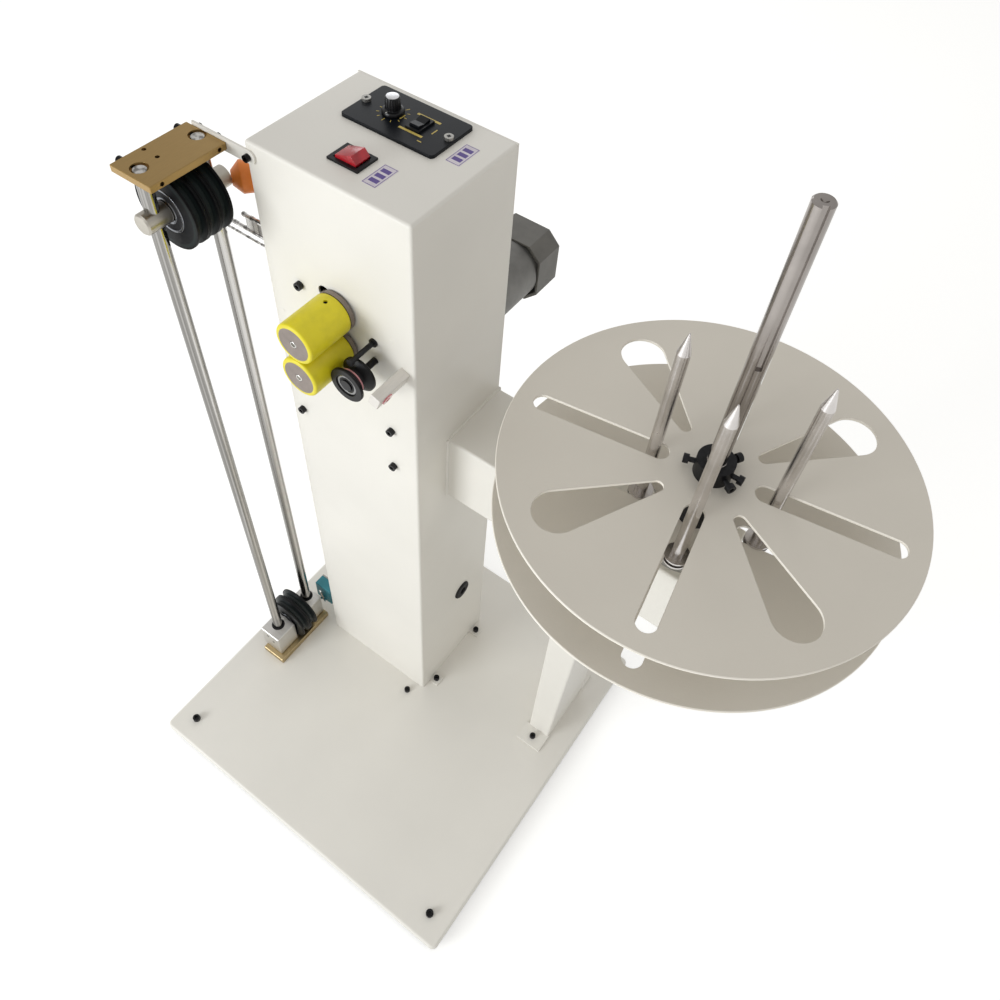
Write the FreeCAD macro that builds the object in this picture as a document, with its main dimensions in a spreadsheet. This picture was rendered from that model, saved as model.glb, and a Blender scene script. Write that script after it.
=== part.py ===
"""Wire spooling machine: a floor-standing dereeler with a turntable for the wire reel,
a driven pair of feed rollers on a column, and a dancer that rides on two guide rods.

Millimetres, +Z up.  The origin is on the floor, under the middle of the base plate.
+X is the turntable's side, -X the dancer's, -Y the rollers' and +Y the motor's.
Places on the column are counted from its front left corner, on top of the base plate.
"""
import FreeCAD, Part
import math
import os
import re
import Sketcher

doc = FreeCAD.newDocument("WireSpoolingMachine")
sheet = doc.addObject("Spreadsheet::Sheet", "Sizes")

# Driving dimensions

SIZES = [
    # Fits and clearances
    ("running_fit", 0.05),
    ("screw_clearance", 0.25),
    ("moving_gap", 0.4),
    # Base tray and its feet
    ("base_width", 490),
    ("base_depth", 490),
    ("base_height", 12),
    ("base_sheet", 2.5),
    ("base_corner", 8),
    ("base_edge", 3.5),
    ("foot_height", 8),
    ("foot_radius", 15),
    ("foot_taper", 1.5),
    ("foot_inset", 30),
    ("foot_screw_radius", 3),
    ("foot_screw_length", 12),
    ("foot_head_radius", 5),
    ("foot_head_height", 6),
    ("foot_socket_radius", 2.9),
    # Column, folded from sheet, with a flat cover on its back
    ("column_x", -157.25),
    ("column_y", 18.6),
    ("column_width", 175),
    ("column_depth", 143),
    ("column_height", 864),
    ("column_sheet", 2),
    ("column_bend", 3),
    ("column_flange", 16),
    ("cover_thickness", 3),
    ("cover_screw_inset", 9),
    ("cover_screw_end", 26),
    ("tab_width", 16),
    ("tab_length", 15),
    ("tab_thickness", 2),
    ("tab_front", 23),
    ("tab_spacing", 100),
    ("tray_screw_x", 158.1),
    ("tray_screw_y", -17.1),
    # M5 socket head screws that hold the frame together
    ("screw_radius", 2.5),
    ("screw_length", 10),
    ("head_radius", 4.2),
    ("head_height", 5),
    ("socket_radius", 2.3),
    ("socket_depth", 2.6),
    # Cable inlet
    ("grommet_y", 88.4),
    ("grommet_z", 177),
    ("grommet_radius", 14),
    ("grommet_hole_radius", 11),
    ("grommet_bore_radius", 6),
    ("grommet_lip", 3),
    # Arm and leg that carry the turntable
    ("arm_front", 50),
    ("arm_bottom", 456.7),
    ("arm_height", 99.7),
    ("arm_length", 304),
    ("arm_sheet", 2.5),
    ("arm_bend", 3),
    ("leg_start", 160),
    ("leg_foot_width", 33),
    ("leg_top_width", 45),
    ("leg_sheet", 2.5),
    ("leg_flange_length", 26),
    ("leg_flange_width", 39),
    ("leg_flange_thickness", 3),
    ("leg_flange_overhang", 5),
    # Turntable
    ("spindle_inset", 46.8),
    ("turntable_angle", 9),
    ("disc_radius", 192),
    ("disc_thickness", 3),
    ("disc_edge", 0.8),
    ("lower_disc_z", 601.3),
    ("disc_spacing", 65.4),
    ("disc_slot_width", 19),
    ("disc_slot_inner", 40),
    ("disc_slot_outer", 174),
    ("window_inner", 47.6),
    ("window_inner_radius", 6),
    ("window_outer", 169.4),
    ("window_outer_radius", 22),
    # Spindle, its housing and bearings
    ("spindle_radius", 8.5),
    ("spindle_seat_radius", 9),
    ("spindle_step", 0.65),
    ("spindle_tail", 4),
    ("spindle_top", 957),
    ("spindle_chamfer", 1.2),
    ("centre_hole_radius", 3),
    ("key_width", 5),
    ("key_depth", 2.5),
    ("key_bottom", 807),
    ("key_angle", -60),
    ("hub_radius", 17.5),
    ("collar_height", 18),
    ("hub_head_radius", 4.5),
    ("hub_head_length", 5),
    ("hub_shank_radius", 2.5),
    ("hub_shank_length", 11.5),
    ("hub_head_gap", 5.5),
    ("hub_angle_a", 0),
    ("hub_angle_b", -31),
    ("hub_angle_c", 59),
    ("hub_angle_d", 100),
    ("hub_angle_e", 198),
    ("hub_angle_f", 275),
    ("housing_flange_radius", 40),
    ("housing_flange_height", 7),
    ("housing_screw_inset", 7),
    ("housing_tube_radius", 25),
    ("housing_depth", 62),
    ("housing_rise", 32),
    ("spindle_bearing_radius", 20),
    ("spindle_bearing_width", 12),
    # Reel pins, which slide in the discs' slots
    ("pin_radius", 6),
    ("pin_top", 812),
    ("pin_tip_length", 22),
    ("pin_tip_radius", 0.8),
    ("pin_thread_radius", 4),
    ("pin_thread_length", 18),
    ("pin_washer_radius", 12),
    ("pin_washer_height", 2),
    ("pin_nut_radius", 7.5),
    ("pin_nut_height", 6.5),
    ("pin_right_place", 61),
    ("pin_back_place", 56),
    ("pin_left_place", 55),
    ("pin_front_place", 52),
    # Feed rollers
    ("roller_x", 88),
    ("drive_z", 687),
    ("roller_radius", 21),
    ("tyre_thickness", 4),
    ("tyre_edge", 1.8),
    ("roller_nip", 0.3),
    ("roller_front", 58),
    ("roller_rear", 6.3),
    ("roller_recess_radius", 4),
    ("roller_recess_depth", 3),
    ("flange_radius", 20.8),
    ("flange_rear", 2),
    ("drive_shaft_radius", 6),
    ("drive_shaft_end", 118),
    ("pinch_shaft_radius", 5),
    ("pinch_shaft_end", 36),
    ("shaft_setback", 4),
    # Roller bracket inside the column's front wall
    ("bracket_left", 30),
    ("bracket_right", 114),
    ("bracket_half_height", 26),
    ("bracket_thickness", 5),
    ("bracket_ear_width", 24),
    ("bracket_ear_top", 742),
    ("bracket_tube_radius", 20),
    ("bracket_tube_end", 90),
    ("drive_bearing_radius", 16),
    ("drive_bearing_width", 10),
    ("shaft_gap", 1.5),
    # Swing arm of the upper roller
    ("pivot_x", 53),
    ("pivot_z", 694),
    ("pivot_radius", 6),
    ("pivot_end", 47),
    ("swing_arm_front", 12),
    ("swing_arm_thickness", 8),
    ("swing_arm_width", 14),
    ("swing_boss_radius", 10),
    ("swing_boss_end", 30),
    ("swing_angle", 22),
    ("swing_slot_width", 14),
    ("spring_mean_radius", 8.5),
    ("spring_wire_radius", 1),
    ("spring_pitch", 2.8),
    ("spring_turns", 4),
    ("spring_leg", 14),
    # Gear motor on the back cover and its belt
    ("motor_z", 590),
    ("motor_frame", 80),
    ("motor_chamfer", 16),
    ("gearhead_length", 44),
    ("gearhead_boss_radius", 17),
    ("gearhead_boss_length", 8),
    ("shaft_offset", 10),
    ("motor_radius", 38.5),
    ("motor_length", 96),
    ("fan_cover_gap", 1),
    ("fan_cover_length", 41.5),
    ("fan_cover_wall", 2.5),
    ("fan_vent_pitch", 7.27),
    ("motor_shaft_radius", 7.5),
    ("motor_shaft_front", 98),
    ("motor_screw_place", 33),
    ("pulley_radius", 19),
    ("pulley_flange_radius", 22),
    ("pulley_flange", 1.5),
    ("pulley_front", 101),
    ("belt_width", 10),
    ("belt_thickness", 2.5),
    # Guide pulley, cross pin and wire guide block
    ("guide_x", 128),
    ("guide_z", 688.5),
    ("guide_radius", 18.4),
    ("guide_groove_radius", 11.5),
    ("guide_front", 40),
    ("guide_rear", 20),
    ("guide_flange", 3.5),
    ("guide_edge", 0.6),
    ("guide_groove_flat", 3),
    ("guide_recess_radius", 12),
    ("guide_recess_depth", 1.5),
    ("stud_radius", 3.5),
    ("stud_collar_radius", 6),
    ("stud_collar_length", 2),
    ("stud_inside", 12),
    ("stud_nut_radius", 7),
    ("stud_nut_height", 5),
    ("cross_pin_z", 712),
    ("cross_pin_radius", 2.5),
    ("cross_pin_front", 33),
    ("cross_pin_collar_radius", 4.5),
    ("cross_pin_collar_length", 2),
    ("cross_pin_head_radius", 3.75),
    ("cross_pin_head_length", 3),
    ("block_x", 162),
    ("block_z", 691.8),
    ("block_width", 11),
    ("block_height", 14),
    ("block_length", 41.5),
    ("block_turn", 20),
    ("block_edge", 1),
    ("eyelet_place", 30),
    ("eyelet_radius", 4),
    ("eyelet_flange_radius", 6.2),
    ("eyelet_flange", 1.4),
    ("eyelet_bore_radius", 1.8),
    ("eyelet_lead", 1),
    ("eyelet_edge", 0.4),
    # Screws on the column's front
    ("front_screw_a_x", 42.1),
    ("front_screw_a_z", 731.9),
    ("front_screw_b_x", 16.1),
    ("front_screw_b_z", 537.9),
    ("front_screw_c_x", 143.3),
    ("front_screw_c_z", 596.9),
    ("front_screw_d_x", 143.9),
    ("front_screw_d_z", 539.5),
    # Speed controller, switches and knob on the column's top
    ("panel_left", 35.6),
    ("panel_front", 76.5),
    ("panel_width", 98.8),
    ("panel_depth", 57.5),
    ("panel_thickness", 3),
    ("panel_corner", 4),
    ("panel_edge", 0.6),
    ("controller_margin", 5),
    ("controller_depth", 62),
    ("panel_screw_inset", 5),
    ("panel_head_radius", 4.1),
    ("panel_head_height", 2.8),
    ("knob_place", 34.5),
    ("knob_skirt_radius", 10),
    ("knob_skirt_height", 3.5),
    ("knob_radius", 7.2),
    ("knob_top_radius", 6.6),
    ("knob_edge", 0.8),
    ("knob_height", 15),
    ("knob_gap", 0.6),
    ("knob_stem_radius", 3),
    ("knob_stem_length", 8),
    ("run_switch_place", 63.3),
    ("run_switch_width", 15),
    ("run_switch_depth", 21),
    ("run_rim", 1.2),
    ("power_switch_x", 85),
    ("power_switch_y", 36.5),
    ("power_switch_width", 32.4),
    ("power_switch_depth", 25.2),
    ("power_rim", 2.6),
    ("bezel_height", 2),
    ("switch_wall", 1),
    ("switch_body_depth", 24),
    ("rocker_pivot_radius", 1.5),
    ("power_rocker_tilt", 17),
    ("power_rocker_width", 24.6),
    ("power_rocker_top_width", 18),
    ("power_rocker_height", 7.2),
    ("power_rocker_foot_width", 16),
    ("power_rocker_foot_depth", 5),
    ("run_rocker_gap", 0.9),
    ("run_rocker_foot_width", 10.4),
    ("run_rocker_foot_depth", 3.5),
    ("run_rocker_side", 1),
    ("run_rocker_height", 4.4),
    ("run_rocker_hollow", 3),
    # Dancer: clamp plate, guide rods, stop plate
    ("rod_x", -45),
    ("rod_front", -70.2),
    ("rod_spacing", 60.4),
    ("rod_radius", 6.5),
    ("clamp_top", 854),
    ("clamp_thickness", 7),
    ("clamp_width", 47),
    ("clamp_side", 21.5),
    ("clamp_overhang", 11.8),
    ("clamp_recess_radius", 7.8),
    ("clamp_recess_depth", 2.5),
    ("clamp_tap_radius", 2),
    ("top_tap_a_x", 5),
    ("top_tap_b_x", 20.8),
    ("top_tap_y", 30.8),
    ("plate_edge", 0.6),
    ("stop_thickness", 10),
    ("stop_width", 38),
    ("stop_length", 101),
    ("stop_side", 12),
    ("stop_overhang", 26.8),
    ("stop_pocket", 6),
    # Upper sheaves on their cross axle
    ("sheave_z", 805),
    ("sheave_radius", 37),
    ("sheave_groove_radius", 32),
    ("sheave_width", 13),
    ("sheave_rim", 4.4),
    ("sheave_groove_flat", 3.6),
    ("sheave_gap", 0.5),
    ("sheave_web_radius", 21.2),
    ("sheave_boss_radius", 10),
    ("sheave_web_depth", 1.6),
    ("upper_sheave_front", -57.5),
    ("upper_sheaves", 3),
    ("axle_radius", 10),
    ("axle_seat_radius", 8),
    ("axle_chamfer", 1.5),
    ("axle_overhang", 13.3),
    ("axle_rear_overhang", 17.8),
    # Carriage with the lower sheaves
    ("carriage_bottom", 12),
    ("carriage_height", 44),
    ("carriage_width", 35),
    ("carriage_front_depth", 34.7),
    ("carriage_rear_depth", 25),
    ("carriage_side", 16),
    ("carriage_front_overhang", 20),
    ("carriage_rear_overhang", 11.8),
    ("carriage_edge", 0.8),
    ("linear_bearing_radius", 9.5),
    ("bearing_seal_height", 0.8),
    ("carriage_lug_radius", 10),
    ("carriage_lug_depth", 3.5),
    ("carriage_axle_seat", 3),
    ("lower_sheave_z", 46.5),
    ("lower_sheave_radius", 34.5),
    ("lower_groove_radius", 29.5),
    ("lower_sheave_width", 14.5),
    ("lower_sheaves", 2),
    ("lower_axle_radius", 5),
    # Bracket plate from the column to the clamp plate
    ("plate_thickness", 2),
    ("plate_height", 13),
    ("plate_reach", 12),
    ("plate_screw_z", 850.5),
    ("plate_screw_x", 5),
    ("plate_left", 60),
    ("plate_corner", 6),
    ("clamp_screw_offset", 11),
    ("m4_radius", 2),
    ("m4_length", 8),
    ("m4_head_radius", 3.4),
    ("m4_head_height", 4),
    ("m4_socket_radius", 1.7),
    ("m4_socket_depth", 2),
    # Bars on the column's left wall, behind the upper sheaves
    ("bar_y", 12),
    ("bar_length", 60),
    ("upper_bar_z", 750),
    ("upper_bar_radius", 2.2),
    ("lower_bar_z", 739.5),
    ("lower_bar_radius", 1.3),
    ("stub_z", 766),
    ("stub_radius", 2.5),
    ("stub_length", 36.5),
    ("web_length", 32),
    ("web_thickness", 1.6),
    ("bar_plate_thickness", 2),
    ("bar_plate_width", 16),
    # Cone on a stem beside the upper axle's rear end
    ("outlet_x", -42),
    ("outlet_y", 12.6),
    ("outlet_z", 801),
    ("outlet_turn", 51.5),
    ("outlet_neck_radius", 6.5),
    ("outlet_radius", 15),
    ("outlet_length", 8.5),
    ("outlet_rim", 10.5),
    ("outlet_stem_radius", 4),
    ("outlet_stem_length", 66),
    # Limit switch beside the carriage's lowest place
    ("switch_left", -43),
    ("switch_width", 30),
    ("switch_front", 10),
    ("switch_depth", 16),
    ("switch_bottom", 34),
    ("switch_height", 37),
    ("switch_flange", 14),
    ("switch_edge", 1),
    ("switch_screw_inset", 7.4),
    ("lever_x", -28),
    ("lever_y", 7.6),
    ("lever_z", 39),
    ("lever_length", 28),
    ("lever_lean", 6),
    ("lever_roller_radius", 1.8),
    ("lever_ear", 2),
    ("switch_bracket_thickness", 2),
    ("lever_thickness", 0.8),
    ("lever_width", 4),
    ("lever_pivot_radius", 1.2),
]


def fill_sheet():
    for row, (alias, number) in enumerate(SIZES, start=1):
        sheet.set("A%d" % row, alias)
        sheet.set("B%d" % row, str(number))
        sheet.setAlias("B%d" % row, alias)
    doc.recompute()


ALIASES = {alias for alias, number in SIZES}
WORD = re.compile(r"[A-Za-z_][A-Za-z_0-9]*")


def formula(text):
    """The same formula with the sheet's name before each of its sizes."""
    return WORD.sub(lambda m: "Sizes." + m.group(0) if m.group(0) in ALIASES else m.group(0), str(text))


def size(alias):
    return float(sheet.get(alias))


def bind(item, **formulas):
    for name, text in formulas.items():
        item.setExpression(name, formula(text))
    return item


def place(item, at=("0", "0", "0"), turn=None):
    """Puts an item at three formulas, turned about an axis by a formula of degrees."""
    if turn is not None:
        axis, angle = turn
        item.Placement = FreeCAD.Placement(FreeCAD.Vector(), FreeCAD.Rotation(axis, 1))
        item.setExpression("Placement.Rotation.Angle", formula(angle))
    for letter, text in zip("xyz", at):
        item.setExpression("Placement.Base." + letter, formula(text))
    return item


# Turns that point a piece's own +Z along a direction of the machine
X_AXIS = FreeCAD.Vector(1, 0, 0)
Y_AXIS = FreeCAD.Vector(0, 1, 0)
Z_AXIS = FreeCAD.Vector(0, 0, 1)
TURNS = {
    "up": None,
    "front": (X_AXIS, "90"),
    "back": (X_AXIS, "-90"),
    "right": (Y_AXIS, "90"),
    "left": (Y_AXIS, "-90"),
    "down": (X_AXIS, "180"),
}

BASE_TOP = "foot_height + base_height"


def on_column(x, y, z):
    """A place counted from the column's front left corner on the base plate."""
    return ("column_x + (%s)" % x, "column_y + (%s)" % y, "%s + (%s)" % (BASE_TOP, z))


# Part primitives and booleans


def box(name, width, depth, height, at, turn=None):
    item = doc.addObject("Part::Box", name)
    bind(item, Length=width, Width=depth, Height=height)
    return place(item, at, turn)


def cylinder(name, radius, length, at, direction="up"):
    item = doc.addObject("Part::Cylinder", name)
    bind(item, Radius=radius, Height=length)
    return place(item, at, TURNS[direction])


def cone(name, radius, end_radius, length, at, direction="up"):
    item = doc.addObject("Part::Cone", name)
    bind(item, Radius1=radius, Radius2=end_radius, Height=length)
    return place(item, at, TURNS[direction])


def ball(name, radius, at):
    item = doc.addObject("Part::Sphere", name)
    bind(item, Radius=radius)
    return place(item, at)


def hexagon(name, radius, length, at, direction="up"):
    item = doc.addObject("Part::Prism", name)
    item.Polygon = 6
    bind(item, Circumradius=radius, Height=length)
    return place(item, at, TURNS[direction])


def fuse(name, pieces):
    item = doc.addObject("Part::MultiFuse", name)
    item.Shapes = pieces
    item.Refine = True
    return item


def cut(name, base, tools):
    item = doc.addObject("Part::Cut", name)
    item.Base = base
    item.Tool = tools[0] if len(tools) == 1 else fuse(name + "_cuts", tools)
    return item


def group(name, pieces):
    item = doc.addObject("Part::Compound", name)
    item.Links = pieces
    return item


# Part Design bodies


def origin_plane(body, role):
    return next(plane for plane in body.Origin.OriginFeatures if plane.Role == role)


def new_sketch(body, name, role):
    sketch = body.newObject("Sketcher::SketchObject", name)
    sketch.AttachmentSupport = (origin_plane(body, role), "")
    sketch.MapMode = "FlatFace"
    return sketch


# Radius of the ring that a sketch's corners stand on before their formulas move them
START_RADIUS = 50


def start_corner(step, count):
    angle = 2 * math.pi * step / count
    return FreeCAD.Vector(START_RADIUS * math.cos(angle), START_RADIUS * math.sin(angle))


def polygon(sketch, corners):
    """A closed outline whose corners are pairs of formulas."""
    count = len(corners)
    start = [start_corner(step, count) for step in range(count)]
    for step in range(count):
        sketch.addGeometry(Part.LineSegment(start[step], start[(step + 1) % count]), False)
    for step in range(count):
        sketch.addConstraint(Sketcher.Constraint("Coincident", step, 2, (step + 1) % count, 1))
    for step, corner in enumerate(corners):
        for kind, text, guess in zip(("DistanceX", "DistanceY"), corner, (start[step].x, start[step].y)):
            index = sketch.addConstraint(Sketcher.Constraint(kind, step, 1, guess))
            sketch.setExpression("Constraints[%d]" % index, formula(text))


def turned(label, outline, at=("0", "0", "0"), direction="up"):
    """A body of revolution; its half outline is pairs of radius and height along its axis."""
    body = doc.addObject("PartDesign::Body", label)
    sketch = new_sketch(body, label + "_outline", "XZ_Plane")
    polygon(sketch, outline)
    turn = body.newObject("PartDesign::Revolution", label + "_turn")
    turn.Profile = sketch
    turn.ReferenceAxis = (sketch, ["V_Axis"])
    turn.Angle = 360
    sketch.Visibility = False
    return place(body, at, TURNS[direction])


def block(label, corners, height, at=("0", "0", "0"), role="XY_Plane", turn=None, middle=False):
    """A body padded from a closed outline on one of its own planes."""
    body = doc.addObject("PartDesign::Body", label)
    sketch = new_sketch(body, label + "_outline", role)
    polygon(sketch, corners)
    pad = body.newObject("PartDesign::Pad", label + "_pad")
    pad.Profile = sketch
    pad.Midplane = middle
    bind(pad, Length=height)
    return place(body, at, turn)


def rectangle(width, depth):
    return [("0", "0"), (width, "0"), (width, depth), ("0", depth)]


def add_box(body, name, dims, at):
    item = body.newObject("PartDesign::AdditiveBox", name)
    bind(item, Length=dims[0], Width=dims[1], Height=dims[2])
    return place(item, at)


def cut_box(body, name, dims, at):
    item = body.newObject("PartDesign::SubtractiveBox", name)
    bind(item, Length=dims[0], Width=dims[1], Height=dims[2])
    return place(item, at)


def add_cylinder(body, name, radius, length, at, direction="up"):
    item = body.newObject("PartDesign::AdditiveCylinder", name)
    bind(item, Radius=radius, Height=length)
    return place(item, at, TURNS[direction])


def drill(body, name, radius, length, at, direction="up"):
    item = body.newObject("PartDesign::SubtractiveCylinder", name)
    bind(item, Radius=radius, Height=length)
    return place(item, at, TURNS[direction])


def soften(body, name, radius, wanted, kind="PartDesign::Fillet"):
    """Rounds, or chamfers, the edges for which wanted(edge) is true."""
    doc.recompute()
    tip = body.Tip
    names = []
    for number, edge in enumerate(tip.Shape.Edges, start=1):
        ends = [vertex.Point for vertex in edge.Vertexes]
        if len(ends) == 2 and edge.Curve.TypeId == "Part::GeomLine" and wanted(*ends):
            names.append("Edge%d" % number)
    item = body.newObject(kind, name)
    item.Base = (tip, names)
    bind(item, **{"Radius" if kind.endswith("Fillet") else "Size": radius})
    return item


def same(first, second, letters):
    return all(abs(getattr(first, letter) - getattr(second, letter)) < 1e-4 for letter in letters)


def near(number, target):
    return abs(number - target) < 1e-3


# Fasteners


def socket_screw(name, at, direction, family=""):
    """A socket head screw whose head sits on the given place and points in the direction."""
    shank, length, head, rise, socket, depth = {
        "": ("screw_radius", "screw_length", "head_radius", "head_height", "socket_radius", "socket_depth"),
        "m4": ("m4_radius", "m4_length", "m4_head_radius", "m4_head_height", "m4_socket_radius",
               "m4_socket_depth"),
        "foot": ("foot_screw_radius", "foot_screw_length", "foot_head_radius", "foot_head_height",
                 "foot_socket_radius", "socket_depth"),
        "hub": ("hub_shank_radius", "hub_shank_length", "hub_head_radius", "hub_head_length",
                "socket_radius", "socket_depth"),
        "panel": ("m4_radius", "m4_length", "panel_head_radius", "panel_head_height", "m4_socket_radius",
                  "m4_socket_depth"),
    }[family]
    body = fuse(name + "_blank", [
        cylinder(name + "_head", head, rise, ("0", "0", "0")),
        cylinder(name + "_shank", shank, "%s + 1" % length, ("0", "0", "-(%s)" % length)),
    ])
    key = hexagon(name + "_socket", socket, "%s + 1" % depth, ("0", "0", "%s - %s" % (rise, depth)))
    return place(cut(name, body, [key]), at, TURNS[direction])


# Base tray and feet

CORNERS = [(side, end) for side in (-1, 1) for end in (-1, 1)]


def at_corner(side, end, height):
    return (
        "%d * (base_width / 2 - foot_inset)" % side,
        "%d * (base_depth / 2 - foot_inset)" % end,
        height,
    )


def base_plate():
    tray = block("tray", rectangle("base_width", "base_depth"), "base_height",
                 ("-base_width / 2", "-base_depth / 2", "foot_height"))
    top = size("base_height")
    soften(tray, "tray_corners", "base_corner", lambda a, b: same(a, b, "xy"))
    soften(tray, "tray_edge", "base_edge", lambda a, b: near(a.z, top) and near(b.z, top))
    doc.recompute()
    tip = tray.Tip
    bottom = next(n for n, face in enumerate(tip.Shape.Faces, start=1) if near(face.CenterOfMass.z, 0))
    shell = tray.newObject("PartDesign::Thickness", "tray_shell")
    shell.Base = (tip, ["Face%d" % bottom])
    shell.Reversed = True
    bind(shell, Value="base_sheet")
    holes = [
        cylinder("foot_hole_%d" % n, "foot_screw_radius + screw_clearance", "base_sheet + 2",
                 at_corner(side, end, BASE_TOP + " - base_sheet - 1"))
        for n, (side, end) in enumerate(CORNERS)
    ]
    spots = [spot for spot, direction in tray_spots()]
    holes += [
        cylinder("tray_hole_%d" % n, "screw_radius + screw_clearance", "base_sheet + 2",
                 (x, y, BASE_TOP + " - base_sheet - 1"))
        for n, (x, y, z) in enumerate(spots)
    ]
    return cut("base_plate", tray, holes)


def rubber_feet():
    feet = []
    top = "foot_height + base_height - base_sheet"
    for n, (side, end) in enumerate(CORNERS):
        foot = cone("foot_%d" % n, "foot_radius - foot_taper", "foot_radius", top,
                    at_corner(side, end, "0"))
        bore = cylinder("foot_bore_%d" % n, "foot_screw_radius + screw_clearance", "foot_screw_length",
                        at_corner(side, end, top + " - foot_screw_length + base_sheet - 1"))
        feet.append(cut("drilled_foot_%d" % n, foot, [bore]))
    return group("rubber_feet", feet)


def foot_screws():
    screws = [
        socket_screw("foot_screw_%d" % n, at_corner(side, end, BASE_TOP), "up", "foot")
        for n, (side, end) in enumerate(CORNERS)
    ]
    return group("foot_screws", screws)


# Column and its cover

PINCH_Z = "drive_z + 2 * roller_radius + roller_nip"
SWING = "hypot(roller_x - pivot_x; %s - pivot_z)" % PINCH_Z
SWING_START = "atan2(%s - pivot_z; roller_x - pivot_x)" % PINCH_Z
MOTOR_SHAFT_Z = "motor_z + shaft_offset"


def column_foot_spots():
    """Screws through the column's two foot tabs."""
    x = "column_width + tab_length / 2"
    spots = [on_column(x, y, "tab_thickness") for y in ("tab_front", "tab_front + tab_spacing")]
    return [(spot, "up") for spot in spots]


def leg_foot_spots():
    x = "column_width + leg_start - leg_flange_overhang + leg_flange_width / 2"
    ys = ("arm_front - leg_flange_length / 2", "column_depth + leg_flange_length / 2")
    return [(on_column(x, y, "leg_flange_thickness"), "up") for y in ys]


def tray_spots():
    """All the screws that go into the tray, one of them beside the column."""
    spare = (on_column("tray_screw_x", "tray_screw_y", "0"), "up")
    return column_foot_spots() + leg_foot_spots() + [spare]


def front_screw_spots():
    return [
        (on_column("front_screw_%s_x" % letter, "0", "front_screw_%s_z" % letter), "front")
        for letter in "abcd"
    ]


def cover_screw_spots():
    return [
        (on_column(x, "column_depth", z), "back")
        for x in ("cover_screw_inset", "column_width - cover_screw_inset")
        for z in ("cover_screw_end", "column_height / 2", "column_height - cover_screw_end")
    ]


def motor_screw_spots():
    """Screws from inside the column, through the cover, into the gearhead."""
    return [
        (on_column("roller_x + %d * motor_screw_place" % side, "column_depth - cover_thickness",
                   "motor_z + %d * motor_screw_place" % end), "front")
        for side, end in CORNERS
    ]


ARM_DEPTH = "(column_depth - arm_front)"
ARM_TOP = "arm_bottom + arm_height"
TURNTABLE_X = "column_width + arm_length - spindle_inset"
TURNTABLE_Y = "(arm_front + column_depth) / 2"


def housing_flange_spots():
    reach = "(housing_flange_radius - housing_screw_inset) * sqrt(0.5)"
    return [
        (on_column("%s + %d * %s" % (TURNTABLE_X, side, reach), "%s + %d * %s" % (TURNTABLE_Y, end, reach),
                   ARM_TOP + " + housing_flange_height"), "up")
        for side, end in CORNERS
    ]


def screw_holes(name, spots, depth, setback="0"):
    """Clearance holes along the screws, from their heads' seats inwards."""
    holes = []
    steps = {"up": (0, 0, -1), "front": (0, 1, 0), "back": (0, -1, 0)}
    turns = {"up": "down", "front": "back", "back": "front"}
    for n, (spot, direction) in enumerate(spots):
        step = steps[direction]
        at = tuple("%s + %d * (%s)" % (text, k, setback) for text, k in zip(spot, step))
        holes.append(cylinder("%s_%d" % (name, n), "screw_radius + screw_clearance", depth, at,
                              turns[direction]))
    return holes


def swing_slot():
    """The arc in the front wall that the upper roller's shaft swings along."""
    half = "swing_slot_width / 2"
    outer = cylinder("slot_outer", "%s + %s" % (SWING, half), "column_sheet + 2", ("0", "0", "0"))
    bind(outer, Angle="swing_angle")
    band = cut("slot_band", outer, [cylinder("slot_inner", "%s - %s" % (SWING, half), "column_sheet + 4",
                                             ("0", "0", "-1"))])
    low = cylinder("slot_low", half, "column_sheet + 2", (SWING, "0", "0"))
    high = cylinder("slot_high", half, "column_sheet + 2",
                    ("%s * cos(swing_angle)" % SWING, "%s * sin(swing_angle)" % SWING, "0"))
    flat = place(fuse("slot_flat", [band, low, high]), ("0", "0", "0"), (Z_AXIS, SWING_START))
    return place(group("swing_slot", [flat]), on_column("pivot_x", "column_sheet + 1", "pivot_z"),
                 TURNS["front"])


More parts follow.
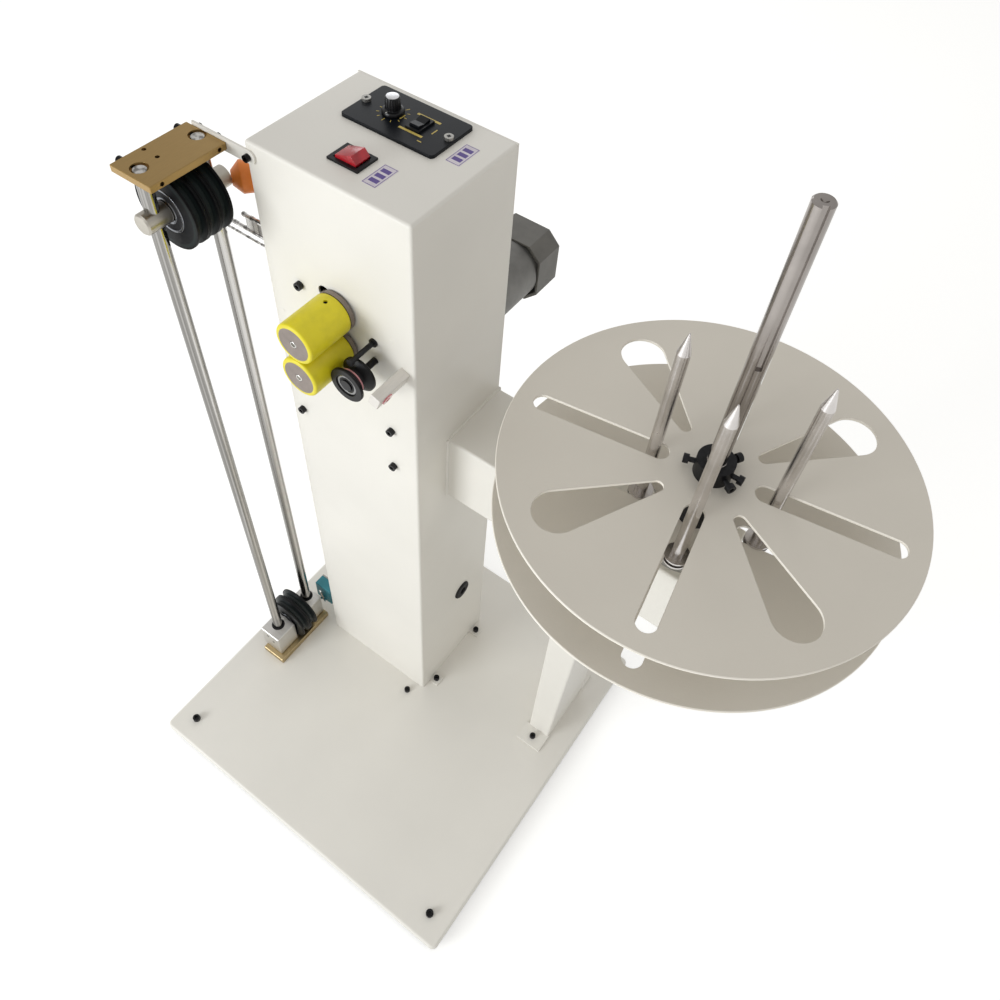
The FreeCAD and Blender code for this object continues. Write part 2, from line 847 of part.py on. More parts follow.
def column_housing():
    depth = "column_depth - cover_thickness"
    shell = block("housing_shell", rectangle("column_width", depth), "column_height",
                  on_column("0", "0", "0"))
    top = size("column_height")
    back = size("column_depth") - size("cover_thickness")
    soften(shell, "front_bends", "column_bend", lambda a, b: same(a, b, "xy") and near(a.y, 0))
    soften(shell, "top_bends", "column_bend",
           lambda a, b: near(a.z, top) and near(b.z, top) and not (near(a.y, back) and near(b.y, back)))
    inside = "column_width - 2 * column_sheet"
    cut_box(shell, "cavity", (inside, depth + " - 2 * column_sheet", "column_height - column_sheet + 1"),
            ("column_sheet", "column_sheet", "-1"))
    cut_box(shell, "back_window",
            (inside + " - 2 * column_flange", "column_sheet + 2",
             "column_height - column_sheet - column_flange + 1"),
            ("column_sheet + column_flange", depth + " - column_sheet - 1", "-1"))
    for n, y in enumerate(("tab_front", "tab_front + tab_spacing")):
        add_box(shell, "foot_tab_%d" % n, ("tab_length + column_sheet / 2", "tab_width", "tab_thickness"),
                ("column_width - column_sheet / 2", "%s - tab_width / 2" % y, "0"))
    cut_box(shell, "controller_cutout",
            ("panel_width - 2 * controller_margin + 2 * moving_gap",
             "panel_depth - 2 * controller_margin + 2 * moving_gap", "column_sheet + 2"),
            ("panel_left + controller_margin - moving_gap", "panel_front + controller_margin - moving_gap",
             "column_height - column_sheet - 1"))
    cut_box(shell, "power_cutout",
            ("power_switch_width - 2 * power_rim + 2 * moving_gap",
             "power_switch_depth - 2 * power_rim + 2 * moving_gap", "column_sheet + 2"),
            ("power_switch_x - power_switch_width / 2 + power_rim - moving_gap",
             "power_switch_y - power_switch_depth / 2 + power_rim - moving_gap",
             "column_height - column_sheet - 1"))
    through = "column_sheet + 2"
    drill(shell, "grommet_hole", "grommet_hole_radius", through,
          ("column_width - column_sheet - 1", "grommet_y", "grommet_z"), "right")
    drill(shell, "plate_hole", "m4_radius + screw_clearance", through,
          ("plate_screw_x", "-1", "plate_screw_z"), "back")
    for n, (x, y, z) in enumerate(switch_screw_places()):
        drill(shell, "switch_hole_%d" % n, "m4_radius + screw_clearance", through, ("-1", y, z), "right")
    drill(shell, "drive_hole", "drive_shaft_radius + shaft_gap", through, ("roller_x", "-1", "drive_z"),
          "back")
    drill(shell, "guide_hole", "stud_radius + screw_clearance", through, ("guide_x", "-1", "guide_z"),
          "back")
    drill(shell, "cross_pin_hole", "cross_pin_radius + screw_clearance", through,
          ("guide_x", "-1", "cross_pin_z"), "back")
    tools = screw_holes("front_hole", front_screw_spots(), "column_sheet + 2", "-1")
    tools += screw_holes("foot_tab_hole", column_foot_spots(), "tab_thickness + 2", "-1")
    tools += screw_holes("flange_hole", cover_screw_spots(), "column_sheet + cover_thickness + 2", "-1")
    tools += panel_screw_holes()
    return cut("column_housing", shell, tools + [swing_slot()])


def column_back_cover():
    cover = block("cover", rectangle("column_width", "cover_thickness"), "column_height",
                  on_column("0", "column_depth - cover_thickness", "0"))
    back = size("cover_thickness")
    soften(cover, "cover_bends", "cover_thickness / 2",
           lambda a, b: near(a.y, back) and near(b.y, back) and max(a.z, b.z) > 1)
    drill(cover, "boss_hole", "gearhead_boss_radius + screw_clearance", "cover_thickness + 2",
          ("roller_x", "-1", MOTOR_SHAFT_Z), "back")
    tools = screw_holes("cover_hole", cover_screw_spots(), "cover_thickness + 2", "-1")
    tools += screw_holes("motor_hole", motor_screw_spots(), "cover_thickness + 2", "-1")
    return cut("column_back_cover", cover, tools)


def frame_screws():
    spots = front_screw_spots() + tray_spots() + cover_screw_spots()
    spots += motor_screw_spots() + housing_flange_spots()
    return group("frame_screws", [
        socket_screw("frame_screw_%d" % n, at, way) for n, (at, way) in enumerate(spots)
    ])


def cable_grommet():
    lip, wall = "grommet_lip", "column_sheet"
    ring = "grommet_hole_radius - screw_clearance"
    return turned("cable_grommet", [
        ("grommet_bore_radius", "-(%s + %s)" % (wall, lip)),
        ("grommet_radius", "-(%s + %s)" % (wall, lip)),
        ("grommet_radius", "-" + wall),
        (ring, "-" + wall),
        (ring, "0"),
        ("grommet_radius", "0"),
        ("grommet_radius", lip + " / 2"),
        ("grommet_radius - %s / 2" % lip, lip),
        ("grommet_bore_radius", lip),
    ], on_column("column_width", "grommet_y", "grommet_z"), "right")


# Arm and leg under the turntable


def arm_beam():
    beam = block("beam", rectangle("arm_length", ARM_DEPTH), "arm_height",
                 on_column("column_width", "arm_front", "arm_bottom"))
    end = size("arm_length")
    soften(beam, "beam_bends", "arm_bend",
           lambda a, b: same(a, b, "yz") or (near(a.x, end) and near(b.x, end)))
    cut_box(beam, "beam_cavity",
            ("arm_length - arm_sheet + 1", ARM_DEPTH + " - 2 * arm_sheet", "arm_height - 2 * arm_sheet"),
            ("-1", "arm_sheet", "arm_sheet"))
    drill(beam, "housing_hole", "housing_tube_radius + screw_clearance", "arm_sheet + 2",
          ("arm_length - spindle_inset", ARM_DEPTH + " / 2", "arm_height - arm_sheet - 1"))
    return cut("arm_beam", beam, screw_holes("beam_hole", housing_flange_spots(),
                                             "housing_flange_height + arm_sheet + 2", "-1"))


def leg_outline(inset, overrun):
    """The leg seen from the front, drawn in by a sheet thickness for its hollow."""
    return [
        (inset, "-(%s)" % overrun),
        ("leg_foot_width - (%s)" % inset, "-(%s)" % overrun),
        ("leg_top_width - (%s)" % inset, "arm_bottom + (%s)" % overrun),
        (inset, "arm_bottom + (%s)" % overrun),
    ]


def support_leg():
    at = on_column("column_width + leg_start", TURNTABLE_Y, "0")
    skin = block("leg_skin", leg_outline("0", "0"), ARM_DEPTH, at, "XZ_Plane", middle=True)
    soften(skin, "leg_bends", "arm_bend", lambda a, b: same(a, b, "y") and abs(a.z - b.z) > 1)
    hollow = block("leg_hollow", leg_outline("leg_sheet", "1"), ARM_DEPTH + " - 2 * leg_sheet", at,
                   "XZ_Plane", middle=True)
    x = "column_width + leg_start - leg_flange_overhang"
    dims = ("leg_flange_width", "leg_flange_length + leg_sheet / 2", "leg_flange_thickness")
    flanges = [
        box("leg_flange_front", *dims, on_column(x, "arm_front - leg_flange_length", "0")),
        box("leg_flange_back", *dims, on_column(x, "column_depth - leg_sheet / 2", "0")),
    ]
    leg = fuse("leg_welded", [cut("leg_folded", skin, [hollow])] + flanges)
    return cut("support_leg", leg,
               screw_holes("leg_hole", leg_foot_spots(), "leg_flange_thickness + 2", "-1"))


# Turntable


def at_spindle(height):
    return on_column(TURNTABLE_X, TURNTABLE_Y, height)


HOUSING_TOP = ARM_TOP + " + housing_rise"
HOUSING_BOTTOM = ARM_TOP + " - housing_depth"
TOP_DISC_Z = "lower_disc_z + disc_spacing"
COLLAR_TOP = TOP_DISC_Z + " + collar_height"


def spindle_housing():
    bore = "spindle_seat_radius + shaft_gap"
    seat = "spindle_bearing_radius"
    low, high = "-housing_depth", "housing_rise"
    housing = turned("housing", [
        (bore, low + " + spindle_bearing_width"),
        (seat, low + " + spindle_bearing_width"),
        (seat, low),
        ("housing_tube_radius", low),
        ("housing_tube_radius", "0"),
        ("housing_flange_radius", "0"),
        ("housing_flange_radius", "housing_flange_height - disc_edge"),
        ("housing_flange_radius - disc_edge", "housing_flange_height"),
        ("housing_tube_radius", "housing_flange_height"),
        ("housing_tube_radius", high),
        (seat, high),
        (seat, high + " - spindle_bearing_width"),
        (bore, high + " - spindle_bearing_width"),
    ], at_spindle(ARM_TOP))
    return cut("spindle_housing", housing, screw_holes("housing_hole", housing_flange_spots(),
                                                       "housing_flange_height + 2", "-1"))


def tube(name, outer, inner, length, at, direction="up"):
    wall = cylinder(name + "_outer", outer, length, ("0", "0", "0"))
    bore = cylinder(name + "_bore", inner, "%s + 2" % length, ("0", "0", "-1"))
    return place(cut(name, wall, [bore]), at, TURNS[direction])


def ball_bearings():
    drive = ("drive_bearing_radius", "drive_shaft_radius + running_fit", "drive_bearing_width")
    spindle = ("spindle_bearing_radius", "spindle_seat_radius + running_fit", "spindle_bearing_width")
    return group("ball_bearings", [
        tube("drive_bearing_front", *drive, on_column("roller_x", "column_sheet", "drive_z"), "back"),
        tube("drive_bearing_rear", *drive,
             on_column("roller_x", "bracket_tube_end - drive_bearing_width", "drive_z"), "back"),
        tube("spindle_bearing_upper", *spindle, at_spindle(HOUSING_TOP + " - spindle_bearing_width")),
        tube("spindle_bearing_lower", *spindle, at_spindle(HOUSING_BOTTOM)),
    ])


def spindle_shaft():
    """Its seat for the bearings, collars and discs is wider than the free end for the reel."""
    low = HOUSING_BOTTOM + " - spindle_tail"
    shaft = turned("spindle_shaft", [
        ("0", low),
        ("spindle_seat_radius - spindle_chamfer", low),
        ("spindle_seat_radius", low + " + spindle_chamfer"),
        ("spindle_seat_radius", COLLAR_TOP + " + spindle_step"),
        ("spindle_radius", COLLAR_TOP + " + 2 * spindle_step"),
        ("spindle_radius", "spindle_top - spindle_chamfer"),
        ("spindle_radius - spindle_chamfer", "spindle_top"),
        ("centre_hole_radius", "spindle_top"),
        ("centre_hole_radius / 3", "spindle_top - centre_hole_radius"),
        ("centre_hole_radius / 3", "spindle_top - 2 * centre_hole_radius"),
        ("0", "spindle_top - 2 * centre_hole_radius"),
    ], at_spindle("0"))
    cut_box(shaft, "keyway", ("key_depth + 1", "key_width", "spindle_top - key_bottom + 1"),
            ("spindle_radius - key_depth", "-key_width / 2", "key_bottom"))
    return place(shaft, at_spindle("0"), (Z_AXIS, "key_angle"))


HUB_SCREWS = "abcdef"
HUB_SCREW_Z = TOP_DISC_Z + " + collar_height / 2"
HUB_HEAD_PLACE = "hub_radius + hub_head_gap"


def around_spindle(name, piece, angle):
    return place(group(name, [piece]), at_spindle("0"), (Z_AXIS, angle))


def hub_collars():
    """The foot on the bearing, the spacer between the discs and the collar on top."""
    foot_z = HOUSING_TOP + " + moving_gap"
    under = "lower_disc_z - disc_thickness"
    ring = ("hub_radius", "spindle_seat_radius")
    foot = tube("hub_foot", *ring, "%s - (%s)" % (under, foot_z), at_spindle(foot_z))
    spacer = tube("hub_spacer", *ring, "disc_spacing - disc_thickness", at_spindle("lower_disc_z"))
    collar = tube("hub_collar_blank", *ring, "collar_height", at_spindle(TOP_DISC_Z))
    taps = [
        around_spindle("hub_tap_turned_" + letter,
                       cylinder("hub_tap_" + letter, "hub_shank_radius + screw_clearance",
                                "hub_shank_length - hub_head_gap + 2",
                                (HUB_HEAD_PLACE + " - hub_shank_length - 1", "0", HUB_SCREW_Z), "right"),
                       "hub_angle_" + letter)
        for letter in HUB_SCREWS
    ]
    return group("hub_collars", [foot, spacer, cut("hub_collar", collar, taps)])


def hub_screws():
    return group("hub_screws", [
        around_spindle("hub_screw_turned_" + letter,
                       socket_screw("hub_screw_" + letter, (HUB_HEAD_PLACE, "0", HUB_SCREW_Z), "right",
                                    "hub"),
                       "hub_angle_" + letter)
        for letter in HUB_SCREWS
    ])


SLOTS = ("right", "back", "left", "front")


def slot_tool(name, angle, low):
    half = "disc_slot_width / 2"
    start, end = "(disc_slot_inner + %s)" % half, "(disc_slot_outer - %s)" % half
    deep = "disc_thickness + 2"
    return around_spindle(name + "_turned", fuse(name, [
        box(name + "_middle", "%s - %s" % (end, start), "disc_slot_width", deep, (start, "-" + half, low)),
        cylinder(name + "_inner", half, deep, (start, "0", low)),
        cylinder(name + "_outer", half, deep, (end, "0", low)),
    ]), angle)


def window_tool(name, angle, low):
    """A teardrop: two circles and the straight sides that touch them both."""
    start = "(window_inner + window_inner_radius)"
    end = "(window_outer - window_outer_radius)"
    lean = "((window_outer_radius - window_inner_radius) / (%s - %s))" % (end, start)
    level = "sqrt(1 - %s * %s)" % (lean, lean)
    deep = "disc_thickness + 2"
    near_x = "%s - window_inner_radius * %s" % (start, lean)
    far_x = "%s - window_outer_radius * %s" % (end, lean)
    sides = block(name + "_sides", [
        (near_x, "-window_inner_radius * " + level),
        (far_x, "-window_outer_radius * " + level),
        (far_x, "window_outer_radius * " + level),
        (near_x, "window_inner_radius * " + level),
    ], deep, ("0", "0", low))
    return around_spindle(name + "_turned", fuse(name, [
        sides,
        cylinder(name + "_inner", "window_inner_radius", deep, (start, "0", low)),
        cylinder(name + "_outer", "window_outer_radius", deep, (end, "0", low)),
    ]), angle)


def disc_blank(name, top):
    edge = "disc_edge"
    return turned(name, [
        ("spindle_seat_radius", "-disc_thickness"),
        ("disc_radius - " + edge, "-disc_thickness"),
        ("disc_radius", "-disc_thickness + " + edge),
        ("disc_radius", "-" + edge),
        ("disc_radius - " + edge, "0"),
        ("spindle_seat_radius", "0"),
    ], at_spindle(top))


def disc_cuts(name, top, windows):
    low = "%s - disc_thickness - 1" % top
    tools = [
        slot_tool("%s_slot_%s" % (name, side), "turntable_angle + %d" % (90 * n), low)
        for n, side in enumerate(SLOTS)
    ]
    if windows:
        tools += [
            window_tool("%s_window_%d" % (name, n), "turntable_angle + %d" % (90 * n + 45), low)
            for n in range(len(SLOTS))
        ]
    return tools


def turntable_discs():
    return [
        cut("top_disc", disc_blank("top_blank", TOP_DISC_Z), disc_cuts("top", TOP_DISC_Z, True)),
        cut("lower_disc", disc_blank("lower_blank", "lower_disc_z"),
            disc_cuts("lower", "lower_disc_z", False)),
    ]


def reel_pin(n, side):
    """A pin that stands on the lower disc and is clamped in its slot by a washer and a nut."""
    seat = "lower_disc_z + moving_gap"
    under = "lower_disc_z - disc_thickness - moving_gap"
    pin = turned("pin_" + side, [
        ("0", "lower_disc_z - pin_thread_length"),
        ("pin_thread_radius", "lower_disc_z - pin_thread_length"),
        ("pin_thread_radius", seat),
        ("pin_washer_radius", seat),
        ("pin_washer_radius", seat + " + pin_washer_height"),
        ("pin_radius", seat + " + pin_washer_height"),
        ("pin_radius", "pin_top - pin_tip_length"),
        ("pin_tip_radius", "pin_top - pin_tip_radius"),
        ("0", "pin_top"),
    ])
    nut = cut("nut_" + side, fuse("nut_blank_" + side, [
        cylinder("nut_washer_" + side, "pin_washer_radius", "pin_washer_height",
                 ("0", "0", under + " - pin_washer_height")),
        hexagon("nut_hexagon_" + side, "pin_nut_radius", "pin_nut_height",
                ("0", "0", under + " - pin_washer_height - pin_nut_height")),
    ]), [cylinder("nut_bore_" + side, "pin_thread_radius", "pin_nut_height + pin_washer_height + 2",
                  ("0", "0", under + " - pin_washer_height - pin_nut_height - 1"))])
    slid = place(group("slid_" + side, [pin, nut]), ("pin_%s_place" % side, "0", "0"))
    return place(group("reel_pin_" + side, [slid]), at_spindle("0"),
                 (Z_AXIS, "turntable_angle + %d" % (90 * n)))


# Feed rollers


def roller_hub(label, bore, at):
    """A turned hub with a rear flange and a small hole in its closed front.

    Heights are counted forwards from the column's face.
    """
    core = "roller_radius - tyre_thickness"
    return turned(label, [
        (bore, "flange_rear"),
        ("flange_radius", "flange_rear"),
        ("flange_radius", "roller_rear"),
        (core, "roller_rear"),
        (core, "roller_front"),
        ("roller_recess_radius", "roller_front"),
        ("roller_recess_radius", "roller_front - roller_recess_depth"),
        (bore, "roller_front - roller_recess_depth"),
    ], at, "front")


def roller_tyre(label, at):
    core = "roller_radius - tyre_thickness"
    return turned(label, [
        (core, "roller_rear"),
        ("roller_radius - tyre_edge", "roller_rear"),
        ("roller_radius", "roller_rear + tyre_edge"),
        ("roller_radius", "roller_front - tyre_edge"),
        ("roller_radius - tyre_edge", "roller_front"),
        (core, "roller_front"),
    ], at, "front")


def round_bar(label, radius, start, end, at, direction):
    """A plain shaft with a small chamfer at both ends."""
    edge = "(%s) / 8" % radius
    return turned(label, [
        ("0", start),
        ("%s - %s" % (radius, edge), start),
        (radius, "%s + %s" % (start, edge)),
        (radius, "%s - %s" % (end, edge)),
        ("%s - %s" % (radius, edge), end),
        ("0", end),
    ], at, direction)


def drive_roller():
    at = on_column("roller_x", "0", "drive_z")
    return [
        roller_hub("drive_roller_hub", "drive_shaft_radius", at),
        roller_tyre("drive_roller_tyre", at),
        round_bar("drive_shaft", "drive_shaft_radius", "-drive_shaft_end", "roller_front - shaft_setback", at,
                  "front"),
        belt_pulley("drive_pulley", "drive_shaft_radius", "drive_z"),
    ]


def pinch_roller():
    at = on_column("roller_x", "0", PINCH_Z)
    return [
        roller_hub("pinch_roller_hub", "pinch_shaft_radius + running_fit", at),
        roller_tyre("pinch_roller_tyre", at),
    ]


def swing_arm():
    """The sprung arm inside the column, with the upper roller's fixed shaft."""
    boss = "swing_boss_end - swing_arm_front"
    arm = fuse("swing_arm_solid", [
        cylinder("pivot_boss", "swing_boss_radius", boss, ("0", "0", "0")),
        cylinder("shaft_boss", "swing_boss_radius", boss, (SWING, "0", "0")),
        box("swing_bar", SWING, "swing_arm_width", "swing_arm_thickness",
            ("0", "-swing_arm_width / 2", boss + " - swing_arm_thickness")),
        cylinder("pinch_shaft", "pinch_shaft_radius",
                 "pinch_shaft_end + roller_front - shaft_setback",
                 (SWING, "0", "swing_boss_end - pinch_shaft_end")),
    ])
    bored = cut("swing_arm_bored", arm, [cylinder("pivot_bore", "pivot_radius + running_fit", boss + " + 2",
                                                  ("0", "0", "-1"))])
    turned_arm = place(bored, ("0", "0", "0"), (Z_AXIS, SWING_START))
    return place(group("pinch_arm", [turned_arm]), on_column("pivot_x", "swing_boss_end", "pivot_z"),
                 TURNS["front"])


def pinch_spring():
    """A torsion spring on the arm's pivot, with two straight legs."""
    radius, wire = size("spring_mean_radius"), size("spring_wire_radius")
    rise = size("spring_pitch") * size("spring_turns")
    helix = Part.makeHelix(size("spring_pitch"), rise, radius)
    ring = Part.Wire(Part.Circle(FreeCAD.Vector(radius, 0, 0), FreeCAD.Vector(0, 1, 0), wire).toShape())
    coil = Part.Wire(helix.Edges).makePipeShell([ring], True, True)
    leg = size("spring_leg")
    legs = [
        Part.makeCylinder(wire, leg, FreeCAD.Vector(radius, 0, 0), FreeCAD.Vector(0, -1, 0)),
        Part.makeCylinder(wire, leg, FreeCAD.Vector(radius, 0, rise), FreeCAD.Vector(0, 1, 0)),
    ]
    item = doc.addObject("Part::Feature", "pinch_spring")
    item.Shape = coil.fuse(legs)
    return place(item, on_column("pivot_x", "swing_boss_end + spring_wire_radius + moving_gap", "pivot_z"),
                 TURNS["back"])


def roller_bracket():
    """The casting inside the front wall: plate, bearing tube and the swing arm's post."""
    front = "column_sheet"
    solid = fuse("bracket_solid", [
        box("bracket_plate", "bracket_right - bracket_left", "bracket_thickness", "2 * bracket_half_height",
            on_column("bracket_left", front, "drive_z - bracket_half_height")),
        box("bracket_ear", "bracket_ear_width", "bracket_thickness",
            "bracket_ear_top - drive_z", on_column("bracket_left", front, "drive_z")),
        cylinder("bracket_tube", "bracket_tube_radius", "bracket_tube_end - column_sheet",
                 on_column("roller_x", front, "drive_z"), "back"),
        cylinder("pivot_post", "pivot_radius", "pivot_end - column_sheet",
                 on_column("pivot_x", front, "pivot_z"), "back"),
    ])
    seat = ("drive_bearing_radius", "drive_bearing_width")
    tools = [
        cylinder("bracket_bore", "drive_shaft_radius + shaft_gap", "bracket_tube_end + 2",
                 on_column("roller_x", "0", "drive_z"), "back"),
        cylinder("front_seat", *seat, on_column("roller_x", front, "drive_z"), "back"),
        cylinder("rear_seat", *seat, on_column("roller_x", "bracket_tube_end - drive_bearing_width", "drive_z"),
                 "back"),
    ]
    tools += screw_holes("bracket_hole", front_screw_spots()[:1], "bracket_thickness + column_sheet + 1")
    return cut("roller_bracket", solid, tools)


# Gear motor and belt


def chamfered_square(side, chamfer):
    half = "(%s) / 2" % side
    inner = "(%s - (%s))" % (half, chamfer)
    signs = [(1, 1), (-1, 1), (-1, -1), (1, -1)]
    corners = []
    for across, up in signs:
        wide = ("%d * %s" % (across, half), "%d * %s" % (up, inner))
        tall = ("%d * %s" % (across, inner), "%d * %s" % (up, half))
        corners += [wide, tall] if across * up > 0 else [tall, wide]
    return corners


def at_motor(y):
    return on_column("roller_x", y, "motor_z")


def gearhead():
    head = block("gear_case", chamfered_square("motor_frame", "motor_chamfer / 2"), "gearhead_length",
                 at_motor("column_depth"), turn=TURNS["back"])
    add_cylinder(head, "gear_boss", "gearhead_boss_radius", "gearhead_boss_length + 1",
                 ("0", "-shaft_offset", "-gearhead_boss_length"))
    drill(head, "gear_bore", "motor_shaft_radius + running_fit", "gearhead_boss_length + gearhead_length / 2",
          ("0", "-shaft_offset", "-gearhead_boss_length - 1"))
    return cut("gearhead", head, screw_holes("gear_tap", motor_screw_spots(), "screw_length + 2"))


def motor_body():
    neck = "motor_frame / 2 - fan_cover_wall - screw_clearance"
    return turned("motor_body", [
        ("0", "0"),
        ("motor_radius", "0"),
        ("motor_radius", "motor_length - 1"),
        ("motor_radius - 1", "motor_length"),
        (neck, "motor_length"),
        (neck, "motor_length + fan_cover_length / 4"),
        ("motor_radius / 2", "motor_length + fan_cover_length / 4"),
        ("motor_radius / 2", "motor_length + fan_cover_length / 2"),
        ("0", "motor_length + fan_cover_length / 2"),
    ], at_motor("column_depth + gearhead_length"), "back")


# The fan cover's slots: how many steps from the middle, and how much of the frame's width
FAN_VENTS = (
    (-4, "0.4"),
    (-3, "0.55"),
    (-2, "0.7"),
    (-1, "0.7"),
    (0, "0.7"),
    (1, "0.7"),
    (2, "0.7"),
    (3, "0.55"),
    (4, "0.4"),
)


def fan_cover():
    start = "column_depth + gearhead_length + motor_length + fan_cover_gap"
    skin = block("fan_skin", chamfered_square("motor_frame", "motor_chamfer"), "fan_cover_length",
                 at_motor(start), turn=TURNS["back"])
    hollow = block("fan_hollow", chamfered_square("motor_frame - 2 * fan_cover_wall", "motor_chamfer"),
                   "fan_cover_length - fan_cover_wall + 1", at_motor(start + " - 1"), turn=TURNS["back"])
    vents = [
        box("fan_vent_%d" % n, "motor_frame * %s" % share, "fan_cover_wall + 2", "fan_cover_wall",
            on_column("roller_x - motor_frame * %s / 2" % share,
                      start + " + fan_cover_length - fan_cover_wall - 1",
                      "motor_z + %d * fan_vent_pitch - fan_cover_wall / 2" % step))
        for n, (step, share) in enumerate(FAN_VENTS)
    ]
    return cut("fan_cover", skin, [hollow] + vents)


def belt_pulley(label, bore, z):
    rim, face, side = "pulley_flange_radius", "pulley_radius", "pulley_flange"
    wide = "belt_width + 2 * moving_gap"
    return turned(label, [
        (bore, "0"),
        (rim, "0"),
        (rim, side),
        (face, side),
        (face, "%s + %s" % (side, wide)),
        (rim, "%s + %s" % (side, wide)),
        (rim, "2 * %s + %s" % (side, wide)),
        (bore, "2 * %s + %s" % (side, wide)),
    ], on_column("roller_x", "pulley_front", z), "back")


def motor_output():
    return [
        round_bar("motor_shaft", "motor_shaft_radius", "motor_shaft_front",
                  "column_depth + gearhead_length / 3", on_column("roller_x", "0", MOTOR_SHAFT_Z), "back"),
        belt_pulley("motor_pulley", "motor_shaft_radius", MOTOR_SHAFT_Z),
    ]


def belt_loop(name, radius, start, width):
    span = "drive_z - (%s)" % MOTOR_SHAFT_Z
    return fuse(name, [
        cylinder(name + "_top", radius, width, ("0", "0", start)),
        cylinder(name + "_bottom", radius, width, ("0", span, start)),
        box(name + "_sides", "2 * (%s)" % radius, span, width, ("-(%s)" % radius, "0", start)),
    ])


def timing_belt():
    inner = "pulley_radius + moving_gap"
    loop = cut("belt_flat", belt_loop("belt_outer", inner + " + belt_thickness", "0", "belt_width"),
               [belt_loop("belt_inner", inner, "-1", "belt_width + 2")])
    return place(group("timing_belt", [loop]),
                 on_column("roller_x", "pulley_front + pulley_flange + moving_gap", "drive_z"), TURNS["back"])


# Guide pulley, cross pin and wire guide block


def guide_pulley():
    rim, groove, edge = "guide_radius", "guide_groove_radius", "guide_edge"
    middle = "(guide_rear + guide_front) / 2"
    return turned("guide_pulley", [
        ("stud_radius + running_fit", "guide_rear"),
        ("%s - %s" % (rim, edge), "guide_rear"),
        (rim, "guide_rear + " + edge),
        (rim, "guide_rear + guide_flange - " + edge),
        (groove, middle + " - guide_groove_flat / 2"),
        (groove, middle + " + guide_groove_flat / 2"),
        (rim, "guide_front - guide_flange + " + edge),
        (rim, "guide_front - " + edge),
        ("%s - %s" % (rim, edge), "guide_front"),
        ("guide_recess_radius", "guide_front"),
        ("guide_recess_radius", "guide_front - guide_recess_depth"),
        ("stud_radius + running_fit", "guide_front - guide_recess_depth"),
    ], on_column("guide_x", "0", "guide_z"), "front")


def stud_nut(name, bore, at):
    nut = cut(name, hexagon(name + "_hexagon", "stud_nut_radius", "stud_nut_height", ("0", "0", "0")),
              [cylinder(name + "_bore", bore, "stud_nut_height + 2", ("0", "0", "-1"))])
    return place(nut, at, TURNS["back"])


def guide_studs():
    """The pulley's stud and the cross pin above it, each with a nut inside the wall."""
    rear = "guide_rear - moving_gap"
    stud = turned("guide_stud", [
        ("0", "-stud_inside"),
        ("stud_radius", "-stud_inside"),
        ("stud_radius", rear + " - stud_collar_length"),
        ("stud_collar_radius", rear + " - stud_collar_length"),
        ("stud_collar_radius", rear),
        ("stud_radius", rear),
        ("stud_radius", "guide_front - guide_recess_depth + moving_gap"),
        ("stud_collar_radius", "guide_front - guide_recess_depth + moving_gap"),
        ("stud_collar_radius", "guide_front + moving_gap"),
        ("0", "guide_front + moving_gap"),
    ], on_column("guide_x", "0", "guide_z"), "front")
    pin = turned("cross_pin", [
        ("0", "-stud_inside"),
        ("cross_pin_radius", "-stud_inside"),
        ("cross_pin_radius", "0"),
        ("cross_pin_collar_radius", "0"),
        ("cross_pin_collar_radius", "cross_pin_collar_length"),
        ("cross_pin_radius", "cross_pin_collar_length"),
        ("cross_pin_radius", "cross_pin_front - cross_pin_head_length"),
        ("cross_pin_head_radius", "cross_pin_front - cross_pin_head_length"),
        ("cross_pin_head_radius", "cross_pin_front"),
        ("0", "cross_pin_front"),
    ], on_column("guide_x", "0", "cross_pin_z"), "front")
    return group("guide_studs", [
        stud,
        pin,
        stud_nut("guide_stud_nut", "stud_radius", on_column("guide_x", "column_sheet", "guide_z")),
        stud_nut("cross_pin_nut", "cross_pin_radius", on_column("guide_x", "column_sheet", "cross_pin_z")),
    ])


def guide_block():
    half = "block_width / 2"
    bar = block("guide_block", [
        ("-" + half, "-block_length"),
        (half, "-block_length"),
        (half, "0"),
        ("-" + half, "0"),
    ], "block_height", on_column("block_x", "0", "block_z"), turn=(Y_AXIS, "block_turn"), middle=True)
    end = -size("block_length")
    soften(bar, "block_edges", "block_edge",
           lambda a, b: same(a, b, "xz") or (near(a.y, end) and near(b.y, end)))
    drill(bar, "eyelet_hole", "eyelet_radius", "block_width + 2", ("-%s - 1" % half, "-eyelet_place", "0"),
          "right")
    return bar


def ceramic_eyelet():
    half = "block_width / 2"
    eyelet = turned("ceramic_eyelet", [
        ("eyelet_bore_radius + eyelet_lead", "-" + half),
        ("eyelet_radius", "-" + half),
        ("eyelet_radius", half),
        ("eyelet_flange_radius", half),
        ("eyelet_flange_radius - eyelet_edge", half + " + eyelet_flange"),
        ("eyelet_bore_radius + eyelet_lead", half + " + eyelet_flange"),
        ("eyelet_bore_radius", half),
        ("eyelet_bore_radius", "-%s + eyelet_lead" % half),
    ])
    return place(eyelet, on_column("block_x", "-eyelet_place", "block_z"), (Y_AXIS, "90 + block_turn"))


# Speed controller, switches and knob


def on_top(x, y, z="0"):
    return on_column(x, y, "column_height + (%s)" % z)


def panel_screw_spots():
    y = "panel_front + panel_depth / 2"
    return [
        on_top("panel_left + panel_screw_inset", y, "panel_thickness"),
        on_top("panel_left + panel_width - panel_screw_inset", y, "panel_thickness"),
    ]


def panel_screw_holes():
    return [
        cylinder("panel_hole_%d" % n, "m4_radius + screw_clearance", "panel_thickness + column_sheet + 2",
                 (x, y, z + " - panel_thickness - column_sheet - 1"))
        for n, (x, y, z) in enumerate(panel_screw_spots())
    ]


RUN_X = "panel_left + run_switch_place"
KNOB_X = "panel_left + knob_place"
PANEL_Y = "panel_front + panel_depth / 2"


